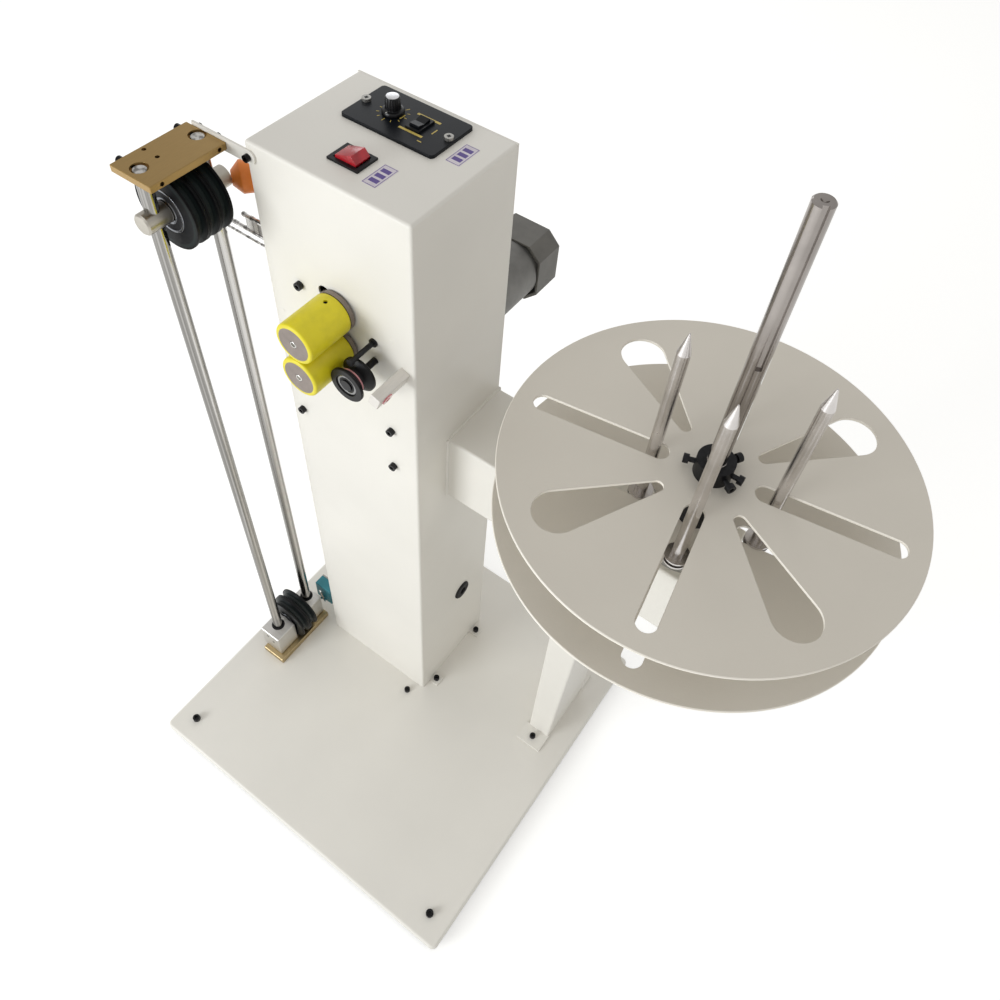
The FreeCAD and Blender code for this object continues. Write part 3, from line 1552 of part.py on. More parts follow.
def speed_controller():
    unit = block("controller", rectangle("panel_width", "panel_depth"), "panel_thickness",
                 on_top("panel_left", "panel_front"))
    top = size("panel_thickness")
    soften(unit, "panel_corners", "panel_corner", lambda a, b: same(a, b, "xy"))
    soften(unit, "panel_top_edge", "panel_edge", lambda a, b: near(a.z, top) and near(b.z, top))
    margin = "controller_margin"
    add_box(unit, "controller_case",
            ("panel_width - 4 * " + margin, "panel_depth - 2 * " + margin, "controller_depth"),
            ("2 * " + margin, margin, "-controller_depth"))
    middle = "panel_depth / 2"
    inset = "run_rim - moving_gap"
    cut_box(unit, "run_cutout",
            ("run_switch_width - 2 * (%s)" % inset, "run_switch_depth - 2 * (%s)" % inset,
             "panel_thickness + switch_body_depth + 1"),
            ("run_switch_place - run_switch_width / 2 + " + inset,
             "%s - run_switch_depth / 2 + %s" % (middle, inset), "-switch_body_depth"))
    drill(unit, "knob_bore", "knob_stem_radius + running_fit", "panel_thickness + knob_stem_length + 2",
          ("knob_place", middle, "-knob_stem_length - 1"))
    spots = panel_screw_spots()
    tools = [
        cylinder("unit_hole_%d" % n, "m4_radius + screw_clearance", "panel_thickness + 4",
                 (x, y, z + " - panel_thickness - 2"))
        for n, (x, y, z) in enumerate(spots)
    ]
    return cut("speed_controller", unit, tools)


def speed_knob():
    low, top = "panel_thickness + knob_gap", "panel_thickness + knob_gap + knob_height"
    return turned("speed_knob", [
        ("0", "-knob_stem_length"),
        ("knob_stem_radius", "-knob_stem_length"),
        ("knob_stem_radius", low),
        ("knob_skirt_radius", low),
        ("knob_skirt_radius", low + " + knob_skirt_height"),
        ("knob_radius", low + " + knob_skirt_height"),
        ("knob_top_radius", top + " - knob_edge"),
        ("knob_top_radius - knob_edge", top),
        ("0", top),
    ], on_top(KNOB_X, PANEL_Y))


def switch_well(name):
    """Width and depth of the opening that a switch's rocker moves in."""
    return tuple("%s_switch_%s - 2 * (%s_rim + switch_wall)" % (name, side, name)
                 for side in ("width", "depth"))


def across(span, low, direction):
    """Where a piece of that length starts to lie in the middle, across or along the switch."""
    start = "-(%s) / 2" % span
    return (start, "0", low) if direction == "right" else ("0", start, low)


def switch_housing(name, pivot, at):
    """A rocker switch's frame: a bezel on the panel and an open box below it."""
    deep = "switch_body_depth"
    well = switch_well(name)
    middle = tuple("-(%s) / 2" % span for span in well)
    frame = fuse(name + "_frame", [
        box(name + "_bezel", "%s_switch_width" % name, "%s_switch_depth" % name, "bezel_height",
            ("-%s_switch_width / 2" % name, "-%s_switch_depth / 2" % name, "0")),
        box(name + "_box", well[0] + " + 2 * switch_wall", well[1] + " + 2 * switch_wall", deep,
            (middle[0] + " - switch_wall", middle[1] + " - switch_wall", "-" + deep)),
    ])
    hollow = box(name + "_well", well[0], well[1], "bezel_height + %s / 2 + 1" % deep,
                 middle + ("-%s / 2" % deep,))
    span = "%s + 2 * (switch_wall + moving_gap)" % well[0 if pivot == "right" else 1]
    hole = cylinder(name + "_pivot_hole", "rocker_pivot_radius + running_fit", span,
                    across(span, "0", pivot), pivot)
    return place(cut(name + "_housing", frame, [hollow, hole]), at)


def switch_housings():
    return group("switch_housings", [
        switch_housing("power", "back", on_top("power_switch_x", "power_switch_y")),
        switch_housing("run", "right", on_top(RUN_X, PANEL_Y, "panel_thickness")),
    ])


def rocker(name, outline, at, plane, tilt, pivot):
    """A rocker padded along its pivot, whose two ends stand out into the housing's walls."""
    well = switch_well(name)[0 if pivot == "right" else 1]
    body = block(name + "_rocker", outline, well + " - 2 * moving_gap", at, plane, tilt, middle=True)
    span = well + " + switch_wall"
    add_cylinder(body, name + "_pivot", "rocker_pivot_radius", span, across(span, "0", pivot), pivot)
    return body


def power_rocker():
    """Widest at its pivot, with sides that slope in to a flat top."""
    wide, top, foot = ("power_rocker_%s / 2" % part for part in ("width", "top_width", "foot_width"))
    return rocker("power", [
        ("-" + foot, "-power_rocker_foot_depth"),
        (foot, "-power_rocker_foot_depth"),
        (wide, "0"),
        (top, "power_rocker_height"),
        ("-" + top, "power_rocker_height"),
        ("-" + wide, "0"),
    ], on_top("power_switch_x", "power_switch_y"), "XZ_Plane", (Y_AXIS, "-power_rocker_tilt"), "back")


def run_rocker():
    """Two faces that meet in a shallow hollow over the pivot."""
    wide = "(%s) / 2 - run_rocker_gap" % switch_well("run")[1]
    foot = "run_rocker_foot_width / 2"
    return rocker("run", [
        ("-" + foot, "-run_rocker_foot_depth"),
        (foot, "-run_rocker_foot_depth"),
        (wide, "run_rocker_side"),
        (wide, "run_rocker_height"),
        ("0", "run_rocker_hollow"),
        ("-(%s)" % wide, "run_rocker_height"),
        ("-(%s)" % wide, "run_rocker_side"),
    ], on_top(RUN_X, PANEL_Y, "panel_thickness"), "YZ_Plane", (X_AXIS, "0"), "right")


# Dancer: the fixed parts

ROD_REAR = "rod_front + rod_spacing"
CLAMP_LEFT = "rod_x - clamp_side"
CLAMP_FRONT = "rod_front - clamp_overhang"
CLAMP_LENGTH = "(clamp_overhang - rod_front - plate_thickness)"


def clamp_screw_spots():
    """Set screws from the left, one beside each rod."""
    z = "clamp_top - clamp_thickness / 2"
    return [on_column(CLAMP_LEFT, y, z) for y in ("rod_front", "rod_front + rod_spacing")]


def top_clamp_plate():
    plate = block("top_clamp_plate", rectangle("clamp_width", CLAMP_LENGTH), "clamp_thickness",
                  on_column(CLAMP_LEFT, CLAMP_FRONT, "clamp_top - clamp_thickness"))
    soften(plate, "clamp_edges", "plate_edge", lambda a, b: True, "PartDesign::Chamfer")
    for name, y in (("front", "clamp_overhang"), ("rear", "clamp_overhang + rod_spacing")):
        drill(plate, "rod_hole_" + name, "rod_radius", "clamp_thickness + 2", ("clamp_side", y, "-1"))
        drill(plate, "rod_recess_" + name, "clamp_recess_radius", "clamp_recess_depth + 1",
              ("clamp_side", y, "clamp_thickness - clamp_recess_depth"))
        drill(plate, "right_tap_" + name, "clamp_tap_radius", "clamp_width - clamp_side",
              ("clamp_side + 1", y, "clamp_thickness / 2"), "right")
        drill(plate, "left_tap_" + name, "m4_radius + screw_clearance", "clamp_side",
              ("-1", y, "clamp_thickness / 2"), "right")
    for n, side in enumerate((-1, 1)):
        drill(plate, "rear_tap_%d" % n, "m4_radius + screw_clearance", "m4_length",
              ("clamp_side + %d * clamp_screw_offset" % side, CLAMP_LENGTH + " - m4_length + 1",
               "clamp_thickness / 2"), "back")
    for letter in "ab":
        drill(plate, "top_tap_" + letter, "clamp_tap_radius", "clamp_thickness + 2",
              ("top_tap_%s_x" % letter, "top_tap_y", "-1"))
    return plate


def guide_rods():
    low = "stop_thickness - stop_pocket"
    high = "clamp_top - clamp_recess_depth / 2"
    return group("guide_rods", [
        round_bar("guide_rod_front", "rod_radius", low, high, on_column("rod_x", "rod_front", "0"), "up"),
        round_bar("guide_rod_rear", "rod_radius", low, high, on_column("rod_x", ROD_REAR, "0"), "up"),
    ])


def bottom_stop_plate():
    plate = block("bottom_stop_plate", rectangle("stop_width", "stop_length"), "stop_thickness",
                  on_column("rod_x - stop_side", "rod_front - stop_overhang", "0"))
    soften(plate, "stop_edges", "plate_edge", lambda a, b: True, "PartDesign::Chamfer")
    for name, y in (("front", "stop_overhang"), ("rear", "stop_overhang + rod_spacing")):
        drill(plate, "stop_hole_" + name, "rod_radius", "stop_pocket + 1",
              ("stop_side", y, "stop_thickness - stop_pocket"))
    return plate


def upper_axle():
    """A round bar across both rods, with a sleeve behind the sheaves that run on it."""
    start, end = "rod_front - axle_overhang", "rod_front + rod_spacing + axle_rear_overhang"
    seat_start = "upper_sheave_front - 2 * sheave_gap"
    seat_end = "upper_sheave_front + upper_sheaves * sheave_width + (upper_sheaves + 1) * sheave_gap"
    bar = turned("axle_bar", [
        ("0", start),
        ("axle_radius - axle_chamfer", start),
        ("axle_radius", start + " + axle_chamfer"),
        ("axle_radius", seat_start),
        ("axle_seat_radius", seat_start),
        ("axle_seat_radius", end),
        ("0", end),
    ], on_column("rod_x", "0", "sheave_z"), "back")
    sleeve = tube("axle_sleeve", "axle_radius", "axle_seat_radius", "%s - (%s)" % (end, seat_end),
                  on_column("rod_x", seat_end, "sheave_z"), "back")
    solids = []
    for name, solid in (("bar", bar), ("sleeve", sleeve)):
        holes = [
            cylinder("%s_hole_%s" % (name, end_name), "rod_radius", "2 * axle_radius + 2",
                     on_column("rod_x", y, "sheave_z - axle_radius - 1"))
            for end_name, y in (("front", "rod_front"), ("rear", ROD_REAR))
        ]
        solids.append(cut("drilled_" + name, solid, holes))
    return group("upper_axle", solids)


def sheave(label, radius, groove, width, bore, at):
    """A V-grooved wheel; heights are counted backwards from its front face."""
    rim, web, boss = "sheave_rim / 2", "sheave_web_depth", "sheave_boss_radius"
    low, high = ("(%s %s sheave_groove_flat) / 2" % (width, sign) for sign in "-+")
    return turned(label, [
        (bore, "0"),
        (boss, "0"),
        (boss, web),
        ("sheave_web_radius", web),
        ("sheave_web_radius", "0"),
        (radius, "0"),
        (radius, rim),
        (groove, low),
        (groove, high),
        (radius, "%s - %s" % (width, rim)),
        (radius, width),
        ("sheave_web_radius", width),
        ("sheave_web_radius", "%s - %s" % (width, web)),
        (boss, "%s - %s" % (width, web)),
        (boss, width),
        (bore, width),
    ], at, "back")


def upper_sheaves():
    wheels = []
    for n in range(int(size("upper_sheaves"))):
        y = "upper_sheave_front + %d * (sheave_width + sheave_gap)" % n
        wheels.append(sheave("upper_sheave_%d" % n, "sheave_radius", "sheave_groove_radius", "sheave_width",
                             "axle_seat_radius + running_fit", on_column("rod_x", y, "sheave_z")))
    return group("upper_sheaves", wheels)


# Dancer: the carriage

CARRIAGE_LEFT = "rod_x - carriage_side"
CARRIAGE_FRONT = "rod_front - carriage_front_overhang"
CARRIAGE_REAR = "rod_front + rod_spacing - (carriage_rear_depth - carriage_rear_overhang)"
CARRIAGE_GAP = "(%s) - (%s) - carriage_front_depth" % (CARRIAGE_REAR, CARRIAGE_FRONT)
LOWER_START = ("(%s) + carriage_front_depth + ((%s) - lower_sheaves * lower_sheave_width"
               " - (lower_sheaves - 1) * sheave_gap) / 2") % (CARRIAGE_FRONT, CARRIAGE_GAP)


def carriage_blocks():
    """A block on each rod; the axle between them joins the two."""
    blocks = []
    lug_z = "lower_sheave_z - carriage_bottom"
    for name, start, depth, rod, lug, bore in (
            ("front", CARRIAGE_FRONT, "carriage_front_depth", "rod_front",
             "carriage_front_depth - carriage_lug_depth", "carriage_front_depth - carriage_axle_seat"),
            ("rear", CARRIAGE_REAR, "carriage_rear_depth", ROD_REAR, "0", "-1")):
        blank = block("carriage_" + name, rectangle("carriage_width", depth), "carriage_height",
                      on_column(CARRIAGE_LEFT, start, "carriage_bottom"))
        soften(blank, "carriage_edges_" + name, "carriage_edge", lambda a, b: True, "PartDesign::Chamfer")
        add_cylinder(blank, "carriage_lug_" + name, "carriage_lug_radius", "carriage_lug_depth",
                     ("carriage_side", lug, lug_z), "back")
        drill(blank, "bearing_bore_" + name, "linear_bearing_radius", "carriage_height + 2",
              ("carriage_side", "%s - (%s)" % (rod, start), "-1"))
        drill(blank, "axle_bore_" + name, "lower_axle_radius", "carriage_axle_seat + 1",
              ("carriage_side", bore, lug_z), "back")
        blocks.append(blank)
    return group("carriage_blocks", blocks)


def carriage_axle():
    start = "(%s) + carriage_front_depth - carriage_axle_seat" % CARRIAGE_FRONT
    return round_bar("carriage_axle", "lower_axle_radius", start,
                     "(%s) + carriage_axle_seat" % CARRIAGE_REAR,
                     on_column("rod_x", "0", "lower_sheave_z"), "back")


def carriage_bearings():
    """Two linear ball bearings, one in each block."""
    length = "carriage_height - 2 * bearing_seal_height"
    return group("carriage_bearings", [
        tube("linear_bearing_" + name, "linear_bearing_radius", "rod_radius + running_fit", length,
             on_column("rod_x", y, "carriage_bottom + bearing_seal_height"))
        for name, y in (("front", "rod_front"), ("rear", ROD_REAR))
    ])


def lower_sheaves():
    return group("lower_sheaves", [
        sheave("lower_sheave_%d" % n, "lower_sheave_radius", "lower_groove_radius", "lower_sheave_width",
               "lower_axle_radius + running_fit",
               on_column("rod_x", "%s + %d * (lower_sheave_width + sheave_gap)" % (LOWER_START, n),
                         "lower_sheave_z"))
        for n in range(int(size("lower_sheaves")))
    ])


# Dancer: what holds it to the column


def clamp_screw_places():
    """Screws from behind the bracket plate into the clamp plate."""
    return [
        ("rod_x + %d * clamp_screw_offset" % side, "0", "clamp_top - clamp_thickness / 2")
        for side in (-1, 1)
    ]


def dancer_bracket():
    low, high = "-plate_height / 2", "plate_height / 2"
    plate = block("dancer_bracket", [
        ("-plate_left", low),
        ("plate_reach", low),
        ("plate_reach", high),
        ("-plate_left", high),
    ], "plate_thickness", on_column("0", "0", "plate_screw_z"), "XZ_Plane")
    soften(plate, "plate_corners", "plate_corner", lambda a, b: same(a, b, "xz") and a.x > 0)
    through = "plate_thickness + 2"
    drill(plate, "column_screw_hole", "m4_radius + screw_clearance", through,
          ("plate_screw_x", "-plate_thickness - 1", "0"), "back")
    for n, (x, y, z) in enumerate(clamp_screw_places()):
        drill(plate, "clamp_screw_hole_%d" % n, "m4_radius + screw_clearance", through,
              (x, "-plate_thickness - 1", z + " - plate_screw_z"), "back")
    return plate


def guard_bars():
    """Two bars and a stub on a small plate, fixed to the column's left wall."""
    low, high = "lower_bar_z - bar_plate_width / 2", "stub_z + bar_plate_width / 2"
    solid = [
        box("bar_plate", "bar_plate_thickness", "bar_plate_width", "%s - (%s)" % (high, low),
            ("-bar_plate_thickness", "bar_y - bar_plate_width / 2", low)),
        box("bar_web", "web_length", "web_thickness", "stub_z - upper_bar_z",
            ("-web_length", "bar_y - web_thickness / 2", "upper_bar_z")),
        cylinder("upper_bar", "upper_bar_radius", "bar_length", ("0", "bar_y", "upper_bar_z"), "left"),
        cylinder("lower_bar", "lower_bar_radius", "bar_length", ("0", "bar_y", "lower_bar_z"), "left"),
        cylinder("stub_bar", "stub_radius", "stub_length - stub_radius", ("0", "bar_y", "stub_z"), "left"),
        ball("stub_end", "stub_radius", ("stub_radius - stub_length", "bar_y", "stub_z")),
    ]
    return place(group("guard_bars", [fuse("guard_bars_solid", solid)]), on_column("0", "0", "0"))


def outlet_cone():
    """A cone on a stem that leans out from the column's left wall."""
    aimed = place(fuse("outlet_aimed", [
        cone("outlet_flare", "outlet_neck_radius", "outlet_radius", "outlet_length", ("0", "0", "0"),
             "right"),
        cylinder("outlet_lip", "outlet_radius", "outlet_rim", ("outlet_length", "0", "0"), "right"),
        cylinder("outlet_stem", "outlet_stem_radius", "outlet_stem_length", ("outlet_length", "0", "0"),
                 "right"),
    ]), on_column("outlet_x", "outlet_y", "outlet_z"), (Z_AXIS, "outlet_turn"))
    wall = box("outlet_wall", "column_width", "column_depth", "4 * outlet_stem_radius",
               on_column("0", "0", "outlet_z - 2 * outlet_stem_radius"))
    return cut("outlet_cone", aimed, [wall])


# Limit switch


def switch_screw_places():
    y = "switch_front + switch_depth + switch_bracket_thickness + switch_flange / 2"
    return [
        ("-switch_bracket_thickness", y, z)
        for z in ("switch_bottom + switch_screw_inset",
                  "switch_bottom + switch_height - switch_screw_inset")
    ]


def limit_switch():
    ear_x = "lever_width / 2 + moving_gap"
    ear_y = "(switch_front - lever_y)"
    case = block("switch_case", rectangle("switch_width", "switch_depth"), "switch_height",
                 on_column("switch_left", "switch_front", "switch_bottom"))
    soften(case, "switch_edges", "switch_edge", lambda a, b: True)
    ears = [
        box("switch_ear_%d" % n, "lever_ear", "2 * %s" % ear_y, "2 * %s" % ear_y,
            on_column("lever_x + " + x, "lever_y - 0.6 * %s" % ear_y, "lever_z - " + ear_y))
        for n, x in enumerate(("-(%s) - lever_ear" % ear_x, ear_x))
    ]
    pin = cylinder("switch_pin_hole", "lever_pivot_radius + running_fit", "switch_width",
                   on_column("lever_x - switch_width / 2", "lever_y", "lever_z"), "right")
    return cut("limit_switch", fuse("switch_solid", [case] + ears), [pin])


def switch_lever():
    long = "2 * lever_ear + lever_width + 2 * moving_gap"
    lever = fuse("lever_solid", [
        box("lever_strip", "lever_width", "lever_thickness", "lever_length",
            ("-lever_width / 2", "-lever_thickness / 2", "0")),
        cylinder("lever_pin", "lever_pivot_radius", long, ("-(%s) / 2" % long, "0", "0"), "right"),
        cylinder("lever_roller", "lever_roller_radius", "lever_width",
                 ("-lever_width / 2", "0", "lever_length"), "right"),
    ])
    return place(group("switch_lever", [lever]), on_column("lever_x", "lever_y", "lever_z"),
                 (X_AXIS, "lever_lean"))


def switch_bracket():
    rear = "switch_front + switch_depth"
    sheet = "switch_bracket_thickness"
    angle = fuse("switch_angle", [
        box("switch_plate", "-switch_left", sheet, "switch_height",
            on_column("switch_left", rear, "switch_bottom")),
        box("switch_flange", sheet, sheet + " + switch_flange", "switch_height",
            on_column("-" + sheet, rear, "switch_bottom")),
    ])
    holes = [
        cylinder("flange_bore_%d" % n, "m4_radius + screw_clearance", sheet + " + 2",
                 on_column(x + " - 1", y, z), "right")
        for n, (x, y, z) in enumerate(switch_screw_places())
    ]
    return cut("switch_bracket", angle, holes)


# The small screws


def small_screws():
    spots = [(spot, "up", "panel") for spot in panel_screw_spots()]
    spots.append((on_column("plate_screw_x", "-plate_thickness", "plate_screw_z"), "front", "m4"))
    spots += [(on_column(*place_of), "back", "m4") for place_of in clamp_screw_places()]
    spots += [(spot, "left", "m4") for spot in clamp_screw_spots()]
    spots += [(on_column(*place_of), "left", "m4") for place_of in switch_screw_places()]
    return group("small_screws", [
        socket_screw("small_screw_%d" % n, *spot) for n, spot in enumerate(spots)
    ])


# Build, check and write


def build():
    fill_sheet()
    pieces = [
        base_plate(), rubber_feet(), foot_screws(),
        column_housing(), column_back_cover(), frame_screws(), cable_grommet(),
        arm_beam(), support_leg(),
        spindle_housing(), ball_bearings(), spindle_shaft(), hub_collars(), hub_screws(),
        roller_bracket(), swing_arm(), pinch_spring(),
        gearhead(), motor_body(), fan_cover(), timing_belt(),
        guide_pulley(), guide_studs(), guide_block(), ceramic_eyelet(),
        speed_controller(), speed_knob(), switch_housings(), power_rocker(), run_rocker(),
        top_clamp_plate(), guide_rods(), bottom_stop_plate(), upper_axle(), upper_sheaves(),
        carriage_blocks(), carriage_axle(), carriage_bearings(), lower_sheaves(),
        dancer_bracket(), guard_bars(), outlet_cone(),
        limit_switch(), switch_lever(), switch_bracket(), small_screws(),
    ]
    pieces += turntable_discs()
    pieces += [reel_pin(n, side) for n, side in enumerate(SLOTS)]
    pieces += drive_roller()
    pieces += pinch_roller()
    pieces += motor_output()
    doc.recompute()
    return pieces


def check(pieces):
    for item in doc.Objects:
        if "Invalid" in item.State or "Error" in item.State:
            raise RuntimeError("%s: %s" % (item.Label, item.State))
    for piece in pieces:
        if piece.Shape.isNull() or not piece.Shape.isValid():
            raise RuntimeError("%s has no valid shape" % piece.Label)


def write(pieces):
    os.makedirs("parts", exist_ok=True)
    for piece in pieces:
        piece.Shape.exportStep("parts/%s.step" % piece.Label)


pieces = build()
check(pieces)
write(pieces)
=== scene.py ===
"""Finishes and small parts of the wire spooling machine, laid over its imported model.

Lengths inside the mesh helpers are millimetres, and everything in the scene is in metres.
+X is the turntable's side, -X the dancer's, -Y the feed rollers' and +Y the motor's.
"""
import math

import bmesh
import bpy
from bpy.props import FloatProperty, FloatVectorProperty, IntProperty, PointerProperty
from bpy.types import Operator, Panel, PropertyGroup
from mathutils import Matrix, Vector


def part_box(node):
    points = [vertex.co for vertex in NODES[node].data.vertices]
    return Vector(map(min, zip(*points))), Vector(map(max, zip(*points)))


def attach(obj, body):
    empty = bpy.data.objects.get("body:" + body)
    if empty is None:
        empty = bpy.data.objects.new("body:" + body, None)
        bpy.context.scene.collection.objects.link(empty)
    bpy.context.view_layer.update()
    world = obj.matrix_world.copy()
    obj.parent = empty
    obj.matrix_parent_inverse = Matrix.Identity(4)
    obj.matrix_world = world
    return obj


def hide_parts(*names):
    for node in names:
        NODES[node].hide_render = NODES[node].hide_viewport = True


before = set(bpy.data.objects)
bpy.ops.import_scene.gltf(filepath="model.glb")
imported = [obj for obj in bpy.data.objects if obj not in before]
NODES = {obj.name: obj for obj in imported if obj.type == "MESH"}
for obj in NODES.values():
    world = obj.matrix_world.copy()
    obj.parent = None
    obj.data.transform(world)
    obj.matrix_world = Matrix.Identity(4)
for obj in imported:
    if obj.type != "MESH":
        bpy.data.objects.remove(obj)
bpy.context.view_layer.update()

bl_info = {
    "name": "Wire Spooling Machine",
    "version": (1, 0, 0),
    "blender": (4, 5, 0),
    "location": "View3D > Sidebar > Spooler",
    "description": "Dresses a wire spooling machine with its finishes and small parts",
    "category": "Object",
}

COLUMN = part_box("column_housing")
FRONT, BACK, UP = (0, -1, 0), (0, 1, 0), (0, 0, 1)
MM = 1000  # millimetres in a metre
WAVE = 0.314  # a wave texture's scale times the distance between its lines in metres
SHARP = math.radians(32)  # edges that turn further than this are shaded sharp

# Places in millimetres from the column's front left corner and the base's top
STOPPED_HOLES = ((148.9, 726.8), (12.0, 682.1))  # x, z on the front wall
SET_SCREWS = ((-38.7, 37.2), (-48.7, 45.2))  # x, z on the carriage's front
FUNNEL_TIP = (-42, 12.6, 801)
ROCKER_PIVOT = (85, 0, 864)
LABELS = (("power", 116.4, 33.5), ("run", 149.2, 98.0))  # name, x, y on the top

# Depths and distances in metres, and turns
BOLT_SUNK, PULLEY_BEARING_SUNK = 0.0026, 0.0032
UPPER_BEARING_SUNK, LOWER_BEARING_SUNK = 0.0016, 0.0010
GROOVE_AHEAD = 0.0022  # of the guide pulley's middle
GRUB_ASIDE, GRUB_FROM_BACK = 0.0015, 0.0099
KNOB_GAP, INK_SUNK, PANEL_SCREW_INSET = 0.0004, 0.00002, 0.005
JUST_UNDER = 0.0001
ROCKER_PIN_REACH = 0.003
FUNNEL_TURN, RECESS_TURN = math.radians(51.5), math.radians(28)

# The camera's place in metres, its turns in degrees, and its lens
CAMERA_PLACE = (0.36105, -0.3900, 1.3082)
CAMERA_TURN = (38.3667, -3.2961, 35.5333)
CAMERA_SENSOR, CAMERA_LENS, CAMERA_SHIFT = 36.0, 31.878, -0.0637

# The floor and the light, with each lamp's place, power, width and height
FLOOR_HALF, PAPER_GLOW = 8, 0.42
SKY_COLOUR, SKY_STRENGTH = (1.0, 0.99, 0.975, 1), 0.65
LAMP_TARGET = (0, 0, 0.55)
WINDOW_COLOUR = (0.94, 0.97, 1.0)
WINDOWS = (("window", (-1.1, -2.5, 1.1), 45, 1.3, 1.0), ("rear_window", (-1.6, 2.0, 1.6), 6, 1.2, 1.0))


def linear(colour):
    """A linear colour from its sRGB hex value. One that is linear already stays as it is."""
    if not isinstance(colour, str):
        return tuple(colour)
    shares = [int(colour[i:i + 2], 16) / 255 for i in (1, 3, 5)]
    return tuple(c / 12.92 if c <= 0.04045 else ((c + 0.055) / 1.055) ** 2.4 for c in shares)


def length(name, description, default):
    return FloatProperty(name=name, description=description, default=default, unit="LENGTH",
                         subtype="DISTANCE")


def colour(name, description, default):
    return FloatVectorProperty(name=name, description=description, default=linear(default), size=3,
                               min=0, max=1, subtype="COLOR")


class SpoolerSizes(PropertyGroup):
    tyre_edge: length("Tyre edge", "Rounding of the feed roller tyres' edges", 0.0024)
    grub_screw: length("Grub screw", "Radius of the screw in the upper tyre", 0.0022)
    groove_ring: length("Groove ring", "Thickness of the ring in the guide pulley's groove", 0.0018)
    bearing_outer: length("Sheave bearing", "Outer radius of the sheaves' ball bearings", 0.0208)
    bearing_inner: length("Sheave bearing bore", "Bore radius of the sheaves' ball bearings", 0.0102)
    knob_flutes: IntProperty(name="Knob flutes", description="Grip flutes round the speed knob",
                             default=18, min=3)
    label_length: length("Label length", "Long side of the labels on the column's top", 0.0294)
    label_width: length("Label width", "Short side of the labels on the column's top", 0.0144)
    weld: length("Weld bead", "Radius of the weld beads under the paint", 0.0022)


class SpoolerColours(PropertyGroup):
    paint: colour("Paint", "Powder coat of the frame", "#E6E3DB")
    # The discs are the frame's off-white powder; this colour is set darker than the frame's as painted
    # shade for their dimmer upward faces.
    discs: colour("Discs", "Powder coat of the turntable's discs", "#D9D3C7")
    tyre: colour("Tyres", "Cast polyurethane of the feed rollers", "#E1D31D")
    hub: colour("Hubs", "Anodised roller hubs", "#877C75")
    plates: colour("Plates", "Gold anodised top plate of the dancer", "#A68A5A")
    rocker: colour("Power rocker", "Clear red rocker of the power switch", "#B21E29")
    cone: colour("Cone", "Orange cone behind the upper axle", "#FB8C34")
    marks: colour("Panel marks", "Printed marks on the speed controller", "#C9B25A")
    print: colour("Label print", "Border and marks of the two labels", "#5A4690")
    switch: colour("Limit switch", "Housing of the limit switch", "#2F7F8C")


# Nodes and finishes

def add(material, kind, links=None, **settings):
    """Adds a shader node with its settings, and links the named outputs into its inputs."""
    made = material.node_tree.nodes.new("ShaderNode" + kind)
    for name, value in settings.items():
        if name in made.inputs:
            made.inputs[name].default_value = value
        else:
            setattr(made, name, value)
    for name, source in (links or {}).items():
        material.node_tree.links.new(source, made.inputs[name])
    return made


def shader_of(material):
    return material.node_tree.nodes["Principled BSDF"]


def finish(name, base, metallic=0.0, roughness=0.5, **constants):
    """A new material with one principled shader, whose plain values sit on its own sockets."""
    made = bpy.data.materials.new(name)
    made.use_nodes = True
    shader = shader_of(made)
    base = linear(base)
    values = {"Base Color": (*base, 1), "Metallic": metallic, "Roughness": roughness}
    for socket, value in {**values, **constants}.items():
        shader.inputs[socket].default_value = value
    made.diffuse_color = (*base, 1)
    return made


def spot(material, centre=(0, 0, 0), stretch=(1, 1, 1)):
    """Object coordinates, counted from a centre and stretched."""
    where = add(material, "TexCoord").outputs["Object"]
    start = [-c * s for c, s in zip(centre, stretch)]
    return add(material, "Mapping", {"Vector": where}, Location=start, Scale=stretch).outputs["Vector"]


def relief(material, height, depth, edge=0.0):
    """Raises the surface by a pattern, to a depth in metres, over edges that look rounded."""
    links = {"Height": height}
    if edge:
        links["Normal"] = add(material, "Bevel", samples=4, Radius=edge).outputs["Normal"]
    bump = add(material, "Bump", links, Distance=depth)
    material.node_tree.links.new(bump.outputs["Normal"], shader_of(material).inputs["Normal"])


def tinted(material, pattern, low, high, start=0.35, end=0.65):
    """Colours the surface from one colour to another as a pattern rises, and gives the ramp."""
    ramp = add(material, "ValToRGB", {"Fac": pattern})
    for stop, place, base in zip(ramp.color_ramp.elements, (start, end), (low, high)):
        stop.position = place
        stop.color = (*linear(base), 1)
    material.node_tree.links.new(ramp.outputs["Color"], shader_of(material).inputs["Base Color"])
    return ramp.color_ramp


def roughened(material, pattern, low, high):
    """Lets a pattern from 0 to 1 set the roughness."""
    rough = add(material, "MapRange", {"Value": pattern}, **{"To Min": low, "To Max": high})
    material.node_tree.links.new(rough.outputs["Result"], shader_of(material).inputs["Roughness"])


def shade(base, share):
    """The same colour, lighter or darker."""
    return tuple(min(1.0, c * share) for c in linear(base))


